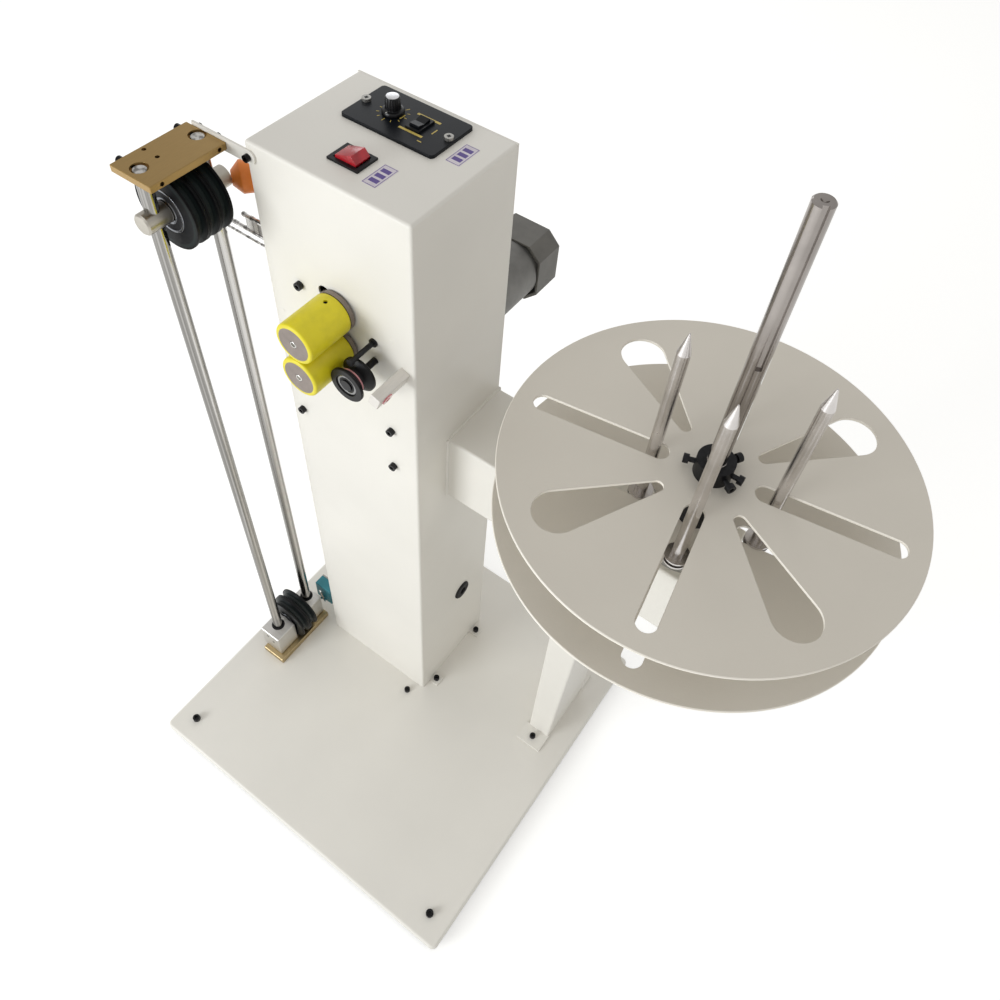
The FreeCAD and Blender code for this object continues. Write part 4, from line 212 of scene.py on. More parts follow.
def powder_coat(name, base, edge_highlight=None):
    """Polyester powder baked on sheet steel: a soft gloss with the orange peel of flowed powder.
    Steep faces, such as the discs' cut edges, can be given a paler colour as a painted highlight, so
    that they look lit even in shade."""
    made = finish(name, base, roughness=0.42, **{"Specular IOR Level": 0.45})
    peel = add(made, "TexNoise", {"Vector": spot(made)}, Scale=1 / 0.0022, Detail=2.0)
    cloud = add(made, "TexNoise", {"Vector": spot(made)}, Scale=1 / 0.16, Detail=3.0)
    tinted(made, cloud.outputs["Fac"], shade(base, 0.965), shade(base, 1.02), 0.3, 0.7)
    # Painted highlight: steep faces get a paler colour, whatever light falls on them.
    if edge_highlight:
        painted = shader_of(made).inputs["Base Color"].links[0].from_socket
        slope = add(made, "SeparateXYZ", {"Vector": add(made, "NewGeometry").outputs["True Normal"]})
        steep = add(made, "Math", operation="ABSOLUTE")
        made.node_tree.links.new(slope.outputs["Z"], steep.inputs[0])
        share = add(made, "MapRange", {"Value": steep.outputs["Value"]},
                    **{"From Min": 0.9, "From Max": 0.5})
        pale = add(made, "MixRGB", {"Fac": share.outputs["Result"], "Color1": painted},
                   Color2=(*linear(edge_highlight), 1))
        made.node_tree.links.new(pale.outputs["Color"], shader_of(made).inputs["Base Color"])
    roughened(made, peel.outputs["Fac"], 0.36, 0.52)
    relief(made, peel.outputs["Fac"], 0.00006, edge=0.0006)
    return made


def turned_metal(name, base, centre, along, roughness=0.26, pitch=0.0009):
    """Metal off a lathe: fine tool lines round the bar and rings on its faces.
    Real lines are about 0.2 mm apart, and are drawn coarser so that they show."""
    made = finish(name, base, metallic=1.0, roughness=roughness)
    where = spot(made, centre)
    lines = add(made, "TexWave", {"Vector": where}, wave_type="BANDS", bands_direction=along,
                Scale=WAVE / pitch, Distortion=0.6, Detail=1.0)
    rings = add(made, "TexWave", {"Vector": where}, wave_type="RINGS", rings_direction=along,
                Scale=WAVE / pitch, Distortion=0.3, Detail=1.0)
    both = add(made, "Math", operation="ADD")
    made.node_tree.links.new(lines.outputs["Fac"], both.inputs[0])
    made.node_tree.links.new(rings.outputs["Fac"], both.inputs[1])
    smear = add(made, "TexNoise", {"Vector": where}, Scale=1 / 0.03, Detail=4.0)
    tinted(made, smear.outputs["Fac"], shade(base, 0.8649), shade(base, 1.04))
    roughened(made, smear.outputs["Fac"], roughness - 0.05, roughness + 0.08)
    relief(made, both.outputs["Value"], 0.000012)
    return made


def polished_steel():
    """Drawn and ground guide rod: bright, with light and dark streaks along it as a painted reflection,
    and finger haze.
    """
    made = finish("polished_chrome_rod", "#BAB8B5", metallic=1.0, roughness=0.16)
    drawn = add(made, "TexNoise", {"Vector": spot(made, stretch=(900, 900, 6))}, Scale=1.0, Detail=2.0)
    haze = add(made, "TexNoise", {"Vector": spot(made)}, Scale=1 / 0.05, Detail=3.0)
    # Painted reflection: the light and dark streaks along the rod stand for the studio round it.
    reflection_streaks = add(made, "TexNoise", {"Vector": spot(made, stretch=(230, 230, 0.8))}, Scale=1.0,
                  Detail=2.0)
    tinted(made, reflection_streaks.outputs["Fac"], "#84827F", "#D6D4D1", 0.36, 0.58)
    roughened(made, haze.outputs["Fac"], 0.1, 0.24)
    relief(made, drawn.outputs["Fac"], 0.000006)
    return made


def brushed_metal(name, base, stretch, roughness=0.34, metallic=1.0, streak=0.1):
    """Plate brushed or milled one way: short streaks along the stroke, dull across it.
    Real strokes are finer than a pixel, and are drawn 0.5 to 2.5 mm wide so that they show."""
    made = finish(name, base, metallic=metallic, roughness=roughness)
    strokes = add(made, "TexNoise", {"Vector": spot(made, stretch=stretch)}, Scale=1.0, Detail=4.0)
    tinted(made, strokes.outputs["Fac"], shade(base, 1 - streak), shade(base, 1 + 0.8 * streak))
    roughened(made, strokes.outputs["Fac"], roughness - 0.07, roughness + 0.1)
    relief(made, strokes.outputs["Fac"], 0.00003, edge=0.0004)
    return made


def blackened_steel(name="black_oxide_steel", base="#1B1B1D"):
    """Oxide-blackened screw steel: dark, oily and a little uneven."""
    made = finish(name, base, metallic=0.55, roughness=0.42)
    mottle = add(made, "TexNoise", {"Vector": spot(made)}, Scale=1 / 0.004, Detail=4.0)
    tinted(made, mottle.outputs["Fac"], shade(base, 0.7), shade(base, 1.7))
    roughened(made, mottle.outputs["Fac"], 0.32, 0.52)
    relief(made, mottle.outputs["Fac"], 0.00004, edge=0.0003)
    return made


def moulded_plastic(name, base, roughness=0.45, grain=0.0006, depth=0.00004, edge=0.0004, **constants):
    """Injection-moulded plastic with a spark-eroded grain and soft edges.
    The real grain is about 0.1 mm, and is drawn coarser so that it shows."""
    made = finish(name, base, roughness=roughness, **constants)
    pebble = add(made, "TexNoise", {"Vector": spot(made)}, Scale=1 / grain, Detail=2.0)
    cloud = add(made, "TexNoise", {"Vector": spot(made)}, Scale=1 / 0.02, Detail=3.0)
    tinted(made, cloud.outputs["Fac"], shade(base, 0.9), shade(base, 1.08))
    roughened(made, pebble.outputs["Fac"], roughness - 0.06, roughness + 0.08)
    relief(made, pebble.outputs["Fac"], depth, edge=edge)
    return made


def cast_polyurethane(base):
    """Cast polyurethane tyre, ground round: slightly clear, satin, with faint rubbed rings and dust."""
    made = finish("cast_polyurethane", base, roughness=0.38,
                  **{"Subsurface Weight": 0.12, "Subsurface Radius": (0.004, 0.004, 0.001),
                     "Specular IOR Level": 0.5})
    ground = add(made, "TexNoise", {"Vector": spot(made, stretch=(120, 1100, 120))}, Scale=1.0,
                 Detail=3.0)
    dust = add(made, "TexNoise", {"Vector": spot(made)}, Scale=1 / 0.012, Detail=4.0)
    tinted(made, dust.outputs["Fac"], shade(base, 0.91), shade(base, 1.03), 0.25, 0.6)
    roughened(made, ground.outputs["Fac"], 0.32, 0.5)
    relief(made, ground.outputs["Fac"], 0.00004)
    return made


def rubber(name, base="#18181A"):
    """Vulcanised rubber: matt and dusty, with a dry bloom."""
    made = finish(name, base, roughness=0.78)
    bloom = add(made, "TexNoise", {"Vector": spot(made)}, Scale=1 / 0.006, Detail=5.0)
    tinted(made, bloom.outputs["Fac"], shade(base, 0.8), shade(base, 1.9))
    relief(made, bloom.outputs["Fac"], 0.00008, edge=0.0005)
    return made


def grooved_nylon(name, centre, inner, outer, side="#090B0F", groove="#1D2424", rim="#060709",
                  gloss=0.28):
    """Black cast nylon sheave, turned: blue-black sides, with a grey band and a darker band towards the
    rim set by radius.
    """
    made = finish(name, side, roughness=0.42, **{"Specular IOR Level": gloss})
    where = spot(made, centre)
    flat = add(made, "VectorMath", operation="MULTIPLY")
    made.node_tree.links.new(where, flat.inputs[0])
    flat.inputs[1].default_value = (1, 0, 1)
    radius = add(made, "VectorMath", {"Vector": flat.outputs["Vector"]}, operation="LENGTH")
    fade = 0.0008
    radius_band = add(made, "MapRange", {"Value": radius.outputs["Value"]},
               **{"From Min": inner - fade, "From Max": outer})
    bands = tinted(made, radius_band.outputs["Result"], side, rim, 0.1, 0.95)
    for place in (0.14, 0.5):
        bands.elements.new(place).color = (*linear(groove), 1)
    rings = add(made, "TexWave", {"Vector": where}, wave_type="RINGS", rings_direction="Y",
                Scale=WAVE / 0.0012, Distortion=0.4, Detail=2.0)
    roughened(made, rings.outputs["Fac"], 0.34, 0.48)
    relief(made, rings.outputs["Fac"], 0.00002, edge=0.0005)
    return made


def clear_red(base):
    """Clear red polycarbonate rocker: glossy, deeper in its middle and light where it is thin."""
    made = finish("clear_red_polycarbonate", base, roughness=0.22,
                  **{"Coat Weight": 0.35, "Coat Roughness": 0.12, "Subsurface Weight": 0.25,
                     "Subsurface Radius": (0.006, 0.001, 0.001)})
    depth = add(made, "TexNoise", {"Vector": spot(made)}, Scale=1 / 0.011, Detail=1.0)
    tinted(made, depth.outputs["Fac"], shade(base, 0.72), shade(base, 1.18), 0.3, 0.7)
    grain = add(made, "TexNoise", {"Vector": spot(made)}, Scale=1 / 0.0007, Detail=1.0)
    relief(made, grain.outputs["Fac"], 0.00002, edge=0.0005)
    return made


def glazed_ceramic():
    """Pressed alumina eyelet with a pink glaze: glassy, with a little pooled colour."""
    made = finish("glazed_ceramic", "#C96A72", roughness=0.1,
                  **{"Coat Weight": 0.6, "Coat Roughness": 0.04})
    pool = add(made, "TexNoise", {"Vector": spot(made)}, Scale=1 / 0.003, Detail=2.0)
    tinted(made, pool.outputs["Fac"], "#B8505C", "#DB8F90")
    roughened(made, pool.outputs["Fac"], 0.06, 0.16)
    return made


def cast_enamel(name, base):
    """Sand-cast aluminium under a thin grey stove enamel: the casting's grain shows through."""
    made = finish(name, base, metallic=0.15, roughness=0.5)
    sand = add(made, "TexNoise", {"Vector": spot(made)}, Scale=1 / 0.0014, Detail=4.0, Roughness=0.7)
    cloud = add(made, "TexNoise", {"Vector": spot(made)}, Scale=1 / 0.03, Detail=4.0)
    tinted(made, cloud.outputs["Fac"], shade(base, 0.85), shade(base, 1.15))
    roughened(made, sand.outputs["Fac"], 0.42, 0.62)
    relief(made, sand.outputs["Fac"], 0.00016, edge=0.0008)
    return made


def printed_ink(name, base):
    """Screen-printed ink: thin and flat, with the mesh's unevenness drawn coarse so that it shows."""
    made = finish(name, base, roughness=0.5)
    mesh = add(made, "TexNoise", {"Vector": spot(made)}, Scale=1 / 0.0005, Detail=1.0)
    tinted(made, mesh.outputs["Fac"], shade(base, 0.82), shade(base, 1.1))
    roughened(made, mesh.outputs["Fac"], 0.42, 0.6)
    return made


def small_screw_steel(level):
    """Small screws, zinc plated above a level in metres and blackened below it."""
    made = finish("small_screw_steel", "#1B1B1D", metallic=0.85, roughness=0.36)
    where = add(made, "SeparateXYZ", {"Vector": spot(made)})
    high = add(made, "MapRange", {"Value": where.outputs["Z"]},
               **{"From Min": level, "From Max": level + 0.0002})
    tinted(made, high.outputs["Result"], "#1B1B1D", "#A9A7A2", 0.3, 0.7)
    grain = add(made, "TexNoise", {"Vector": spot(made)}, Scale=1 / 0.001, Detail=2.0)
    relief(made, grain.outputs["Fac"], 0.00002, edge=0.0003)
    return made


def dress(material, *names):
    """Gives CAD nodes a finish."""
    for name in names:
        data = NODES[name].data
        if not data.materials:
            data.materials.append(material)
        for number in range(len(data.materials)):
            data.materials[number] = material


# Shapes

def turned(outline, steps=96):
    """A solid of revolution about local Z, from (radius, height) corners in millimetres."""
    mesh = bmesh.new()
    ring = [mesh.verts.new((r, 0, h)) for r, h in outline]
    edges = [mesh.edges.new(pair) for pair in zip(ring, ring[1:])]
    if outline[0][0] > 0 or outline[-1][0] > 0:
        edges.append(mesh.edges.new((ring[-1], ring[0])))
    bmesh.ops.spin(mesh, geom=ring + edges, cent=(0, 0, 0), axis=(0, 0, 1), angle=2 * math.pi,
                   steps=steps, use_merge=True)
    bmesh.ops.remove_doubles(mesh, verts=mesh.verts, dist=0.0001)
    bmesh.ops.recalc_face_normals(mesh, faces=mesh.faces)
    return mesh


def slab(width, depth, height, at=(0, 0, 0)):
    """A block standing on local XY with its middle over a point."""
    mesh = bmesh.new()
    bmesh.ops.create_cube(mesh, size=1)
    bmesh.ops.scale(mesh, vec=(width, depth, height), verts=mesh.verts)
    bmesh.ops.translate(mesh, vec=Vector(at) + Vector((0, 0, height / 2)), verts=mesh.verts)
    return mesh


def rounded(mesh, size, segments=3, chosen=None, angle=40):
    """Rounds a mesh's sharp edges, or only those that a test picks."""
    sharp = [e for e in mesh.edges if e.is_manifold and e.calc_face_angle(0) > math.radians(angle)]
    edges = [e for e in sharp if chosen is None or chosen(e)]
    bmesh.ops.bevel(mesh, geom=edges, offset=size, affect="EDGES", segments=segments, profile=0.5,
                    material=-1)
    return mesh


def upright(edge):
    a, b = edge.verts
    return abs(a.co.z - b.co.z) > 0.9 * (a.co - b.co).length


def joined(*meshes):
    """Several meshes as one."""
    whole = bmesh.new()
    for mesh in meshes:
        data = bpy.data.meshes.new("part")
        mesh.to_mesh(data)
        whole.from_mesh(data)
        bpy.data.meshes.remove(data)
        mesh.free()
    return whole


def placed(mesh, matrix):
    bmesh.ops.transform(mesh, matrix=matrix, verts=mesh.verts)
    return mesh


def facing(point, direction, turn=0.0):
    """Puts local Z along a direction at a point in metres, with millimetres made metres."""
    look = Vector(direction).to_track_quat("Z", "Y").to_matrix().to_4x4()
    return Matrix.Translation(point) @ look @ Matrix.Rotation(turn, 4, "Z") @ Matrix.Scale(1 / MM, 4)


def piece(name, mesh, place, material, body, replaces=()):
    """Makes an object of a mesh, in place in the machine and riding on a body."""
    data = bpy.data.meshes.new(name)
    placed(mesh, place).to_mesh(data)
    mesh.free()
    data.materials.append(material)
    for face in data.polygons:
        face.use_smooth = True
    data.set_sharp_from_angle(angle=SHARP)
    made = bpy.data.objects.new(name, data)
    bpy.context.scene.collection.objects.link(made)
    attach(made, body)
    if replaces:
        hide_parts(*replaces)
    return made


def carved(made, cutter, place):
    """Cuts a shape out of a piece."""
    data = bpy.data.meshes.new("cutter")
    placed(cutter, place).to_mesh(data)
    cutter.free()
    tool = bpy.data.objects.new("cutter", data)
    bpy.context.scene.collection.objects.link(tool)
    hole = made.modifiers.new("hole", "BOOLEAN")
    hole.object, hole.operation, hole.solver = tool, "DIFFERENCE", "EXACT"
    bpy.context.view_layer.update()
    seen = made.evaluated_get(bpy.context.evaluated_depsgraph_get())
    whole = bpy.data.meshes.new_from_object(seen)
    made.modifiers.remove(hole)
    made.data = whole
    bpy.data.objects.remove(tool)


def middle(node):
    low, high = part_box(node)
    return (low + high) / 2


def end_of(node, direction, sunk=0.0):
    """The middle of a node's outermost face towards a direction, or a depth in metres behind it."""
    low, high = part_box(node)
    half = (high - low) / 2
    return (low + high) / 2 + Vector(h * d for h, d in zip(half, direction)) - sunk * Vector(direction)


def on_column(x, y, z):
    """A place counted in millimetres from the column's front left corner and the base's top."""
    return COLUMN[0] + Vector((x, y, z)) / MM


def socket_head(radius, height, key):
    """A screw head with a bevelled rim and a round recess, standing on local Z."""
    return turned([(0, height - 0.7 * radius), (key, height - 0.6 * radius), (key, height),
                   (radius - 0.6, height), (radius, height - 0.6), (radius, 0), (0, 0)], steps=36)


# Pieces and groups of like pieces

class SPOOLER_OT_painted_frame(Operator):
    """Powder coat on the base, column, arm and leg, with the welds and stopped holes under it"""
    bl_idname = "spooler.painted_frame"
    bl_label = "Painted Frame"

    def execute(self, context):
        colours, sizes = context.scene.spooler_colours, context.scene.spooler_sizes
        paint = powder_coat("powder_coat_off_white", colours.paint)
        dress(paint, "base_plate", "column_housing", "column_back_cover", "arm_beam", "support_leg",
              "dancer_bracket")
        dress(cast_enamel("cast_grey_enamel", "#8E8C86"), "spindle_housing")
        plugs = [placed(turned([(0, 0.35), (1.2, 0.32), (2.1, 0.0), (2.1, -0.4), (0, -0.4)], steps=32),
                        facing(on_column(x, 0, z), FRONT)) for x, z in STOPPED_HOLES]
        piece("stopped_holes", joined(*plugs), Matrix(), paint, "frame")
        low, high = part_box("arm_beam")
        bead = sizes.weld * MM
        width, tall = (high.y - low.y) * MM, (high.z - low.z) * MM
        runs = [weld_bead(tall, bead, "Z", (0, across, 0)) for across in (width / 2, -width / 2)]
        runs += [weld_bead(width, bead, "Y", (0, 0, side)) for side in (tall / 2, -tall / 2)]
        centre = Vector((low.x, (low.y + high.y) / 2, (low.z + high.z) / 2))
        piece("arm_weld", joined(*runs), Matrix.Translation(centre) @ Matrix.Scale(1 / MM, 4), paint,
              "frame")
        return {"FINISHED"}


def weld_bead(run, radius, along, at):
    """A rippled bead of weld along an axis, half sunk in the joint."""
    ripple_length = 3.2
    mesh = bmesh.new()
    steps = max(8, int(2 * run / ripple_length))
    bmesh.ops.create_cone(mesh, cap_ends=True, segments=12, radius1=radius, radius2=radius, depth=run)
    lengthwise = [e for e in mesh.edges if upright(e)]
    bmesh.ops.subdivide_edges(mesh, edges=lengthwise, cuts=steps)
    for vert in mesh.verts:
        ripple = 1 + 0.1 * math.sin(vert.co.z * 2 * math.pi / ripple_length)
        vert.co.x *= ripple
        vert.co.y *= ripple
    if along == "Y":
        placed(mesh, Matrix.Rotation(math.radians(90), 4, "X"))
    bmesh.ops.translate(mesh, vec=at, verts=mesh.verts)
    return mesh


class SPOOLER_OT_fasteners(Operator):
    """Blackened screws, rubber feet and the cable inlet"""
    bl_idname = "spooler.fasteners"
    bl_label = "Fasteners and Feet"

    def execute(self, context):
        dress(blackened_steel(), "foot_screws", "frame_screws", "hub_screws")
        dress(small_screw_steel(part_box("speed_controller")[1].z - JUST_UNDER), "small_screws")
        dress(rubber("foot_rubber"), "rubber_feet")
        dress(rubber("inlet_rubber", "#141415"), "cable_grommet")
        return {"FINISHED"}


class SPOOLER_OT_turntable(Operator):
    """The discs, the spindle with its hub, and the reel pins"""
    bl_idname = "spooler.turntable"
    bl_label = "Turntable"

    def execute(self, context):
        colours = context.scene.spooler_colours
        axis = middle("spindle_shaft")
        # colours.discs is darker than the frame's paint as painted shade, and #F8F3E8 is a painted
        # highlight on the discs' steep cut edges.
        dress(powder_coat("powder_coat_disc", colours.discs, "#F8F3E8"), "top_disc", "lower_disc")
        dress(turned_metal("turned_spindle_steel", "#A49E9A", axis, "Z", roughness=0.17),
              "spindle_shaft")
        dress(blackened_steel("black_oxide_hub", "#161618"), "hub_collars")
        dress(turned_metal("bearing_steel", "#B9B7B2", axis, "Z", roughness=0.18), "ball_bearings")
        for side in ("right", "back", "left", "front"):
            name = "reel_pin_" + side
            dress(turned_metal("turned_pin_steel_" + side, "#D8D4D2", middle(name), "Z", roughness=0.24,
                               pitch=0.0007), name)
        return {"FINISHED"}


class SPOOLER_OT_feed_rollers(Operator):
    """The two feed rollers with their tyres, end bolts and the swing arm"""
    bl_idname = "spooler.feed_rollers"
    bl_label = "Feed Rollers"

    def execute(self, context):
        colours, sizes = context.scene.spooler_colours, context.scene.spooler_sizes
        urethane = cast_polyurethane(colours.tyre)
        zinc = turned_metal("zinc_plated_bolt", "#CFCDC8", (0, 0, 0), "Y", roughness=0.22)
        edge = sizes.tyre_edge * MM
        for which in ("drive", "pinch"):
            body = which + "_roller"
            node = body + "_tyre"
            low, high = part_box(node)
            radius, long, wall = (high.x - low.x) / 2 * MM, (high.y - low.y) * MM, 4
            shape = turned([(radius - wall, 0), (radius, 0), (radius, long), (radius - wall, long)],
                           steps=128)
            rounded(shape, edge, segments=6,
                    chosen=lambda e: all(v.co.xy.length > radius - 0.1 for v in e.verts))
            tyre = piece(node + "_rounded", shape, facing(end_of(node, BACK), FRONT), urethane, body,
                         (node,))
            hub = body + "_hub"
            dress(anodised(body + "_anodised", colours.hub, end_of(hub, FRONT)), hub)
            bolt = rounded(socket_head(3.8, 3.0, 2.2), 0.25, segments=2)
            piece(body + "_end_bolt", bolt, facing(end_of(hub, FRONT, BOLT_SUNK), FRONT), zinc, body)
            if which == "pinch":
                top = Vector(((low.x + high.x) / 2 + GRUB_ASIDE, high.y - GRUB_FROM_BACK, high.z))
                hole = facing(top, UP)
                grub = sizes.grub_screw * MM
                carved(tyre, turned([(0, -6), (grub, -6), (grub, 6), (0, 6)], steps=32), hole)
                screw = turned([(0, -3.4), (0.9, -3.2), (0.9, -1.8), (grub - 0.1, -1.8),
                                (grub - 0.1, -3.9), (0, -3.9)], steps=32)
                piece("tyre_grub_screw", screw, hole, blackened_steel("black_grub_screw"), body)
        dress(turned_metal("ground_shaft_steel", "#B5B2AD", middle("drive_shaft"), "Y"), "drive_shaft")
        arm = brushed_metal("milled_steel_arm", "#8F8D8A", (60, 600, 600))
        dress(arm, "pinch_arm", "roller_bracket")
        dress(spring_wire(), "pinch_spring")
        return {"FINISHED"}


def anodised(name, base, centre):
    """Anodised aluminium hub, faced on a lathe: a satin taupe with fine rings on its end."""
    made = finish(name, base, metallic=0.35, roughness=0.45)
    where = spot(made, centre)
    rings = add(made, "TexWave", {"Vector": where}, wave_type="RINGS", rings_direction="Y",
                Scale=WAVE / 0.0011, Distortion=0.5, Detail=2.0)
    haze = add(made, "TexNoise", {"Vector": where}, Scale=1 / 0.009, Detail=4.0)
    tinted(made, haze.outputs["Fac"], shade(base, 0.9), shade(base, 1.08))
    roughened(made, rings.outputs["Fac"], 0.38, 0.5)
    relief(made, rings.outputs["Fac"], 0.00003, edge=0.0003)
    return made


def spring_wire():
    """Hard-drawn spring wire, lightly oiled."""
    made = finish("spring_wire", "#8B8984", metallic=1.0, roughness=0.28)
    draw = add(made, "TexNoise", {"Vector": spot(made)}, Scale=1 / 0.002, Detail=3.0)
    roughened(made, draw.outputs["Fac"], 0.2, 0.4)
    return made


class SPOOLER_OT_drive(Operator):
    """The gear motor, its pulleys and the belt"""
    bl_idname = "spooler.drive"
    bl_label = "Motor and Belt"

    def execute(self, context):
        dress(cast_enamel("motor_grey_enamel", "#8C8A86"), "gearhead")
        dress(cast_enamel("motor_body_enamel", "#7C7B78"), "motor_body")
        dress(moulded_plastic("fan_cover_grey", "#686661", roughness=0.5, grain=0.0012, depth=0.00006,
                              edge=0.0010), "fan_cover")
        dress(turned_metal("motor_shaft_steel", "#B5B2AD", middle("motor_shaft"), "Y"), "motor_shaft")
        for name in ("drive_pulley", "motor_pulley"):
            dress(turned_metal(name + "_aluminium", "#B9B8B4", middle(name), "Y", roughness=0.34), name)
        dress(rubber("belt_rubber", "#1C1C1E"), "timing_belt")
        return {"FINISHED"}


class SPOOLER_OT_wire_guide(Operator):
    """The guide pulley with its bearing and groove ring, the studs, and the block with its eyelet"""
    bl_idname = "spooler.wire_guide"
    bl_label = "Wire Guide"

    def execute(self, context):
        sizes = context.scene.spooler_sizes
        axis = middle("guide_pulley")
        dress(grooved_nylon("pulley_nylon", axis, 0.011, 0.013, "#0A0A0C", "#1A1A1C", "#060608"),
              "guide_pulley")
        dress(blackened_steel("black_stud_steel", "#1E1E20"), "guide_studs")
        dress(brushed_metal("anodised_guide_block", "#DAD6D0", (500, 60, 500), roughness=0.42,
                            metallic=0.4, streak=0.03), "guide_block")
        dress(glazed_ceramic(), "ceramic_eyelet")
        thick, bore = sizes.groove_ring * MM, 11.6
        ring = rounded(turned([(bore, -thick / 2), (bore + thick, -thick / 2), (bore + thick, thick / 2),
                               (bore, thick / 2)]), thick * 0.3, segments=4)
        piece("pulley_groove_ring", ring, facing(axis + GROOVE_AHEAD * Vector(FRONT), FRONT),
              rubber("pink_silicone_ring", "#B98387"), "guide_pulley")
        bearing = joined(*(rounded(turned([(inner, 0), (outer, 0), (outer, 2.2), (inner, 2.2)]), 0.35)
                           for inner, outer in ((8.6, 10.8), (3.7, 5.4))))
        seat = facing(end_of("guide_pulley", FRONT, PULLEY_BEARING_SUNK), FRONT)
        steel = turned_metal("pulley_bearing_steel", "#8C8C8C", axis, "Y", roughness=0.24)
        piece("pulley_bearing", bearing, seat, steel, "guide_pulley")
        seal = turned([(5.2, 0.8), (8.8, 0.8), (8.8, 1.5), (7.9, 1.9), (6.1, 1.9), (5.2, 1.5)])
        piece("pulley_bearing_seal", seal, seat, rubber("seal_rubber", "#1A1A1C"), "guide_pulley")
        return {"FINISHED"}


def bearing_seat(name, front, direction, body, inner, outer, deep, steel, seal):
    """The visible end of a sealed ball bearing: two ground rings with a dished rubber seal between."""
    wide = outer - inner
    rings = joined(*(rounded(turned([(a, 0), (b, 0), (b, deep), (a, deep)]), 0.35)
                     for a, b in ((outer - 0.2 * wide, outer), (inner, inner + 0.22 * wide))))
    piece(name + "_rings", rings, facing(front, direction), steel, body)
    a, b = inner + 0.2 * wide, outer - 0.18 * wide
    dish = turned([(a, 0.2), (b, 0.2), (b, deep - 0.25), (b - 0.2 * wide, deep - 0.75),
                   (a + 0.15 * wide, deep - 0.75), (a, deep - 0.25)])
    piece(name + "_seal", dish, facing(front, direction), seal, body)


class SPOOLER_OT_sheaves(Operator):
    """The dancer's upper and lower sheaves with their bearings"""
    bl_idname = "spooler.sheaves"
    bl_label = "Sheaves"

    def execute(self, context):
        sizes = context.scene.spooler_sizes
        upper, lower = middle("upper_sheaves"), middle("lower_sheaves")
        dress(grooved_nylon("upper_sheave_nylon", upper, 0.032, 0.0365, gloss=0.1), "upper_sheaves")
        dress(grooved_nylon("lower_sheave_nylon", lower, 0.0295, 0.034), "lower_sheaves")
        steel = turned_metal("bearing_race_steel", "#84868C", upper, "Y", roughness=0.24)
        seal = rubber("bearing_seal_rubber", "#17171A")
        inner, outer = sizes.bearing_inner * MM, sizes.bearing_outer * MM
        for which, sunk, bore, rim, deep in (("upper", UPPER_BEARING_SUNK, inner, outer, 1.9),
                                             ("lower", LOWER_BEARING_SUNK, 5.4, 13.0, 1.2)):
            body = which + "_sheaves"
            for end, side in (("front", FRONT), ("back", BACK)):
                bearing_seat("%s_bearing_%s" % (which, end), end_of(body, side, sunk), side, body,
                             bore, rim, deep, steel, seal)
        return {"FINISHED"}


class SPOOLER_OT_dancer(Operator):
    """The dancer's plates, rods, axle, bars and cone"""
    bl_idname = "spooler.dancer"
    bl_label = "Dancer Frame"

    def execute(self, context):
        colours = context.scene.spooler_colours
        for name, gold, plate in (("gold_anodised_plate", colours.plates, "top_clamp_plate"),
                                  ("pale_gold_anodised_plate", "#BDA981", "bottom_stop_plate")):
            dress(brushed_metal(name, gold, (1800, 90, 1800), roughness=0.36, streak=0.05), plate)
        dress(polished_steel(), "guide_rods", "guard_bars")
        dress(turned_metal("turned_axle_steel", "#BDB8AE", middle("upper_axle"), "Y", roughness=0.3,
                           pitch=0.0012), "upper_axle")
        orange = moulded_plastic("orange_moulding", colours.cone, roughness=0.4, grain=0.001)
        aim = (math.cos(FUNNEL_TURN), math.sin(FUNNEL_TURN), 0)
        funnel = rounded(turned([(0, 0.8), (5.6, 0.8), (6.5, 0), (15, 8.5), (15, 19), (4, 19), (4, 72),
                                 (0, 72)]), 0.5, segments=2)
        piece("outlet_funnel", funnel, facing(on_column(*FUNNEL_TIP), aim), orange, "frame",
              ("outlet_cone",))
        return {"FINISHED"}


class SPOOLER_OT_carriage(Operator):
    """The carriage on the guide rods"""
    bl_idname = "spooler.carriage"
    bl_label = "Carriage"

    def execute(self, context):
        dress(brushed_metal("milled_aluminium", "#DAD8D4", (60, 600, 600), roughness=0.4, streak=0.05),
              "carriage_blocks")
        dress(turned_metal("carriage_axle_steel", "#B5B2AD", middle("carriage_axle"), "Y"),
              "carriage_axle")
        dress(rubber("linear_bearing_seal", "#131315"), "carriage_bearings")
        level = end_of("carriage_blocks", FRONT).y
        screws = []
        for x, z in SET_SCREWS:
            at = on_column(x, 0, z)
            at.y = level
            screws.append(placed(turned([(0, -0.9), (1.0, -0.6), (1.0, 0.05), (2.0, 0.15), (2.2, 0.0),
                                         (2.2, -1.0), (0, -1.0)], steps=28), facing(at, FRONT)))
        piece("carriage_set_screws", joined(*screws), Matrix(), blackened_steel("black_set_screw"),
              "carriage")
        return {"FINISHED"}


class SPOOLER_OT_limit_switch(Operator):
    """The limit switch with its lever and bracket"""
    bl_idname = "spooler.limit_switch"
    bl_label = "Limit Switch"

    def execute(self, context):
        teal = context.scene.spooler_colours.switch
        dress(moulded_plastic("teal_moulding", teal, roughness=0.4), "limit_switch")
        dress(brushed_metal("plated_lever", "#C9C7C2", (400, 60, 400), roughness=0.25), "switch_lever")
        dress(brushed_metal("plated_bracket", "#B5B3AE", (60, 500, 500), roughness=0.35),
              "switch_bracket")
        return {"FINISHED"}


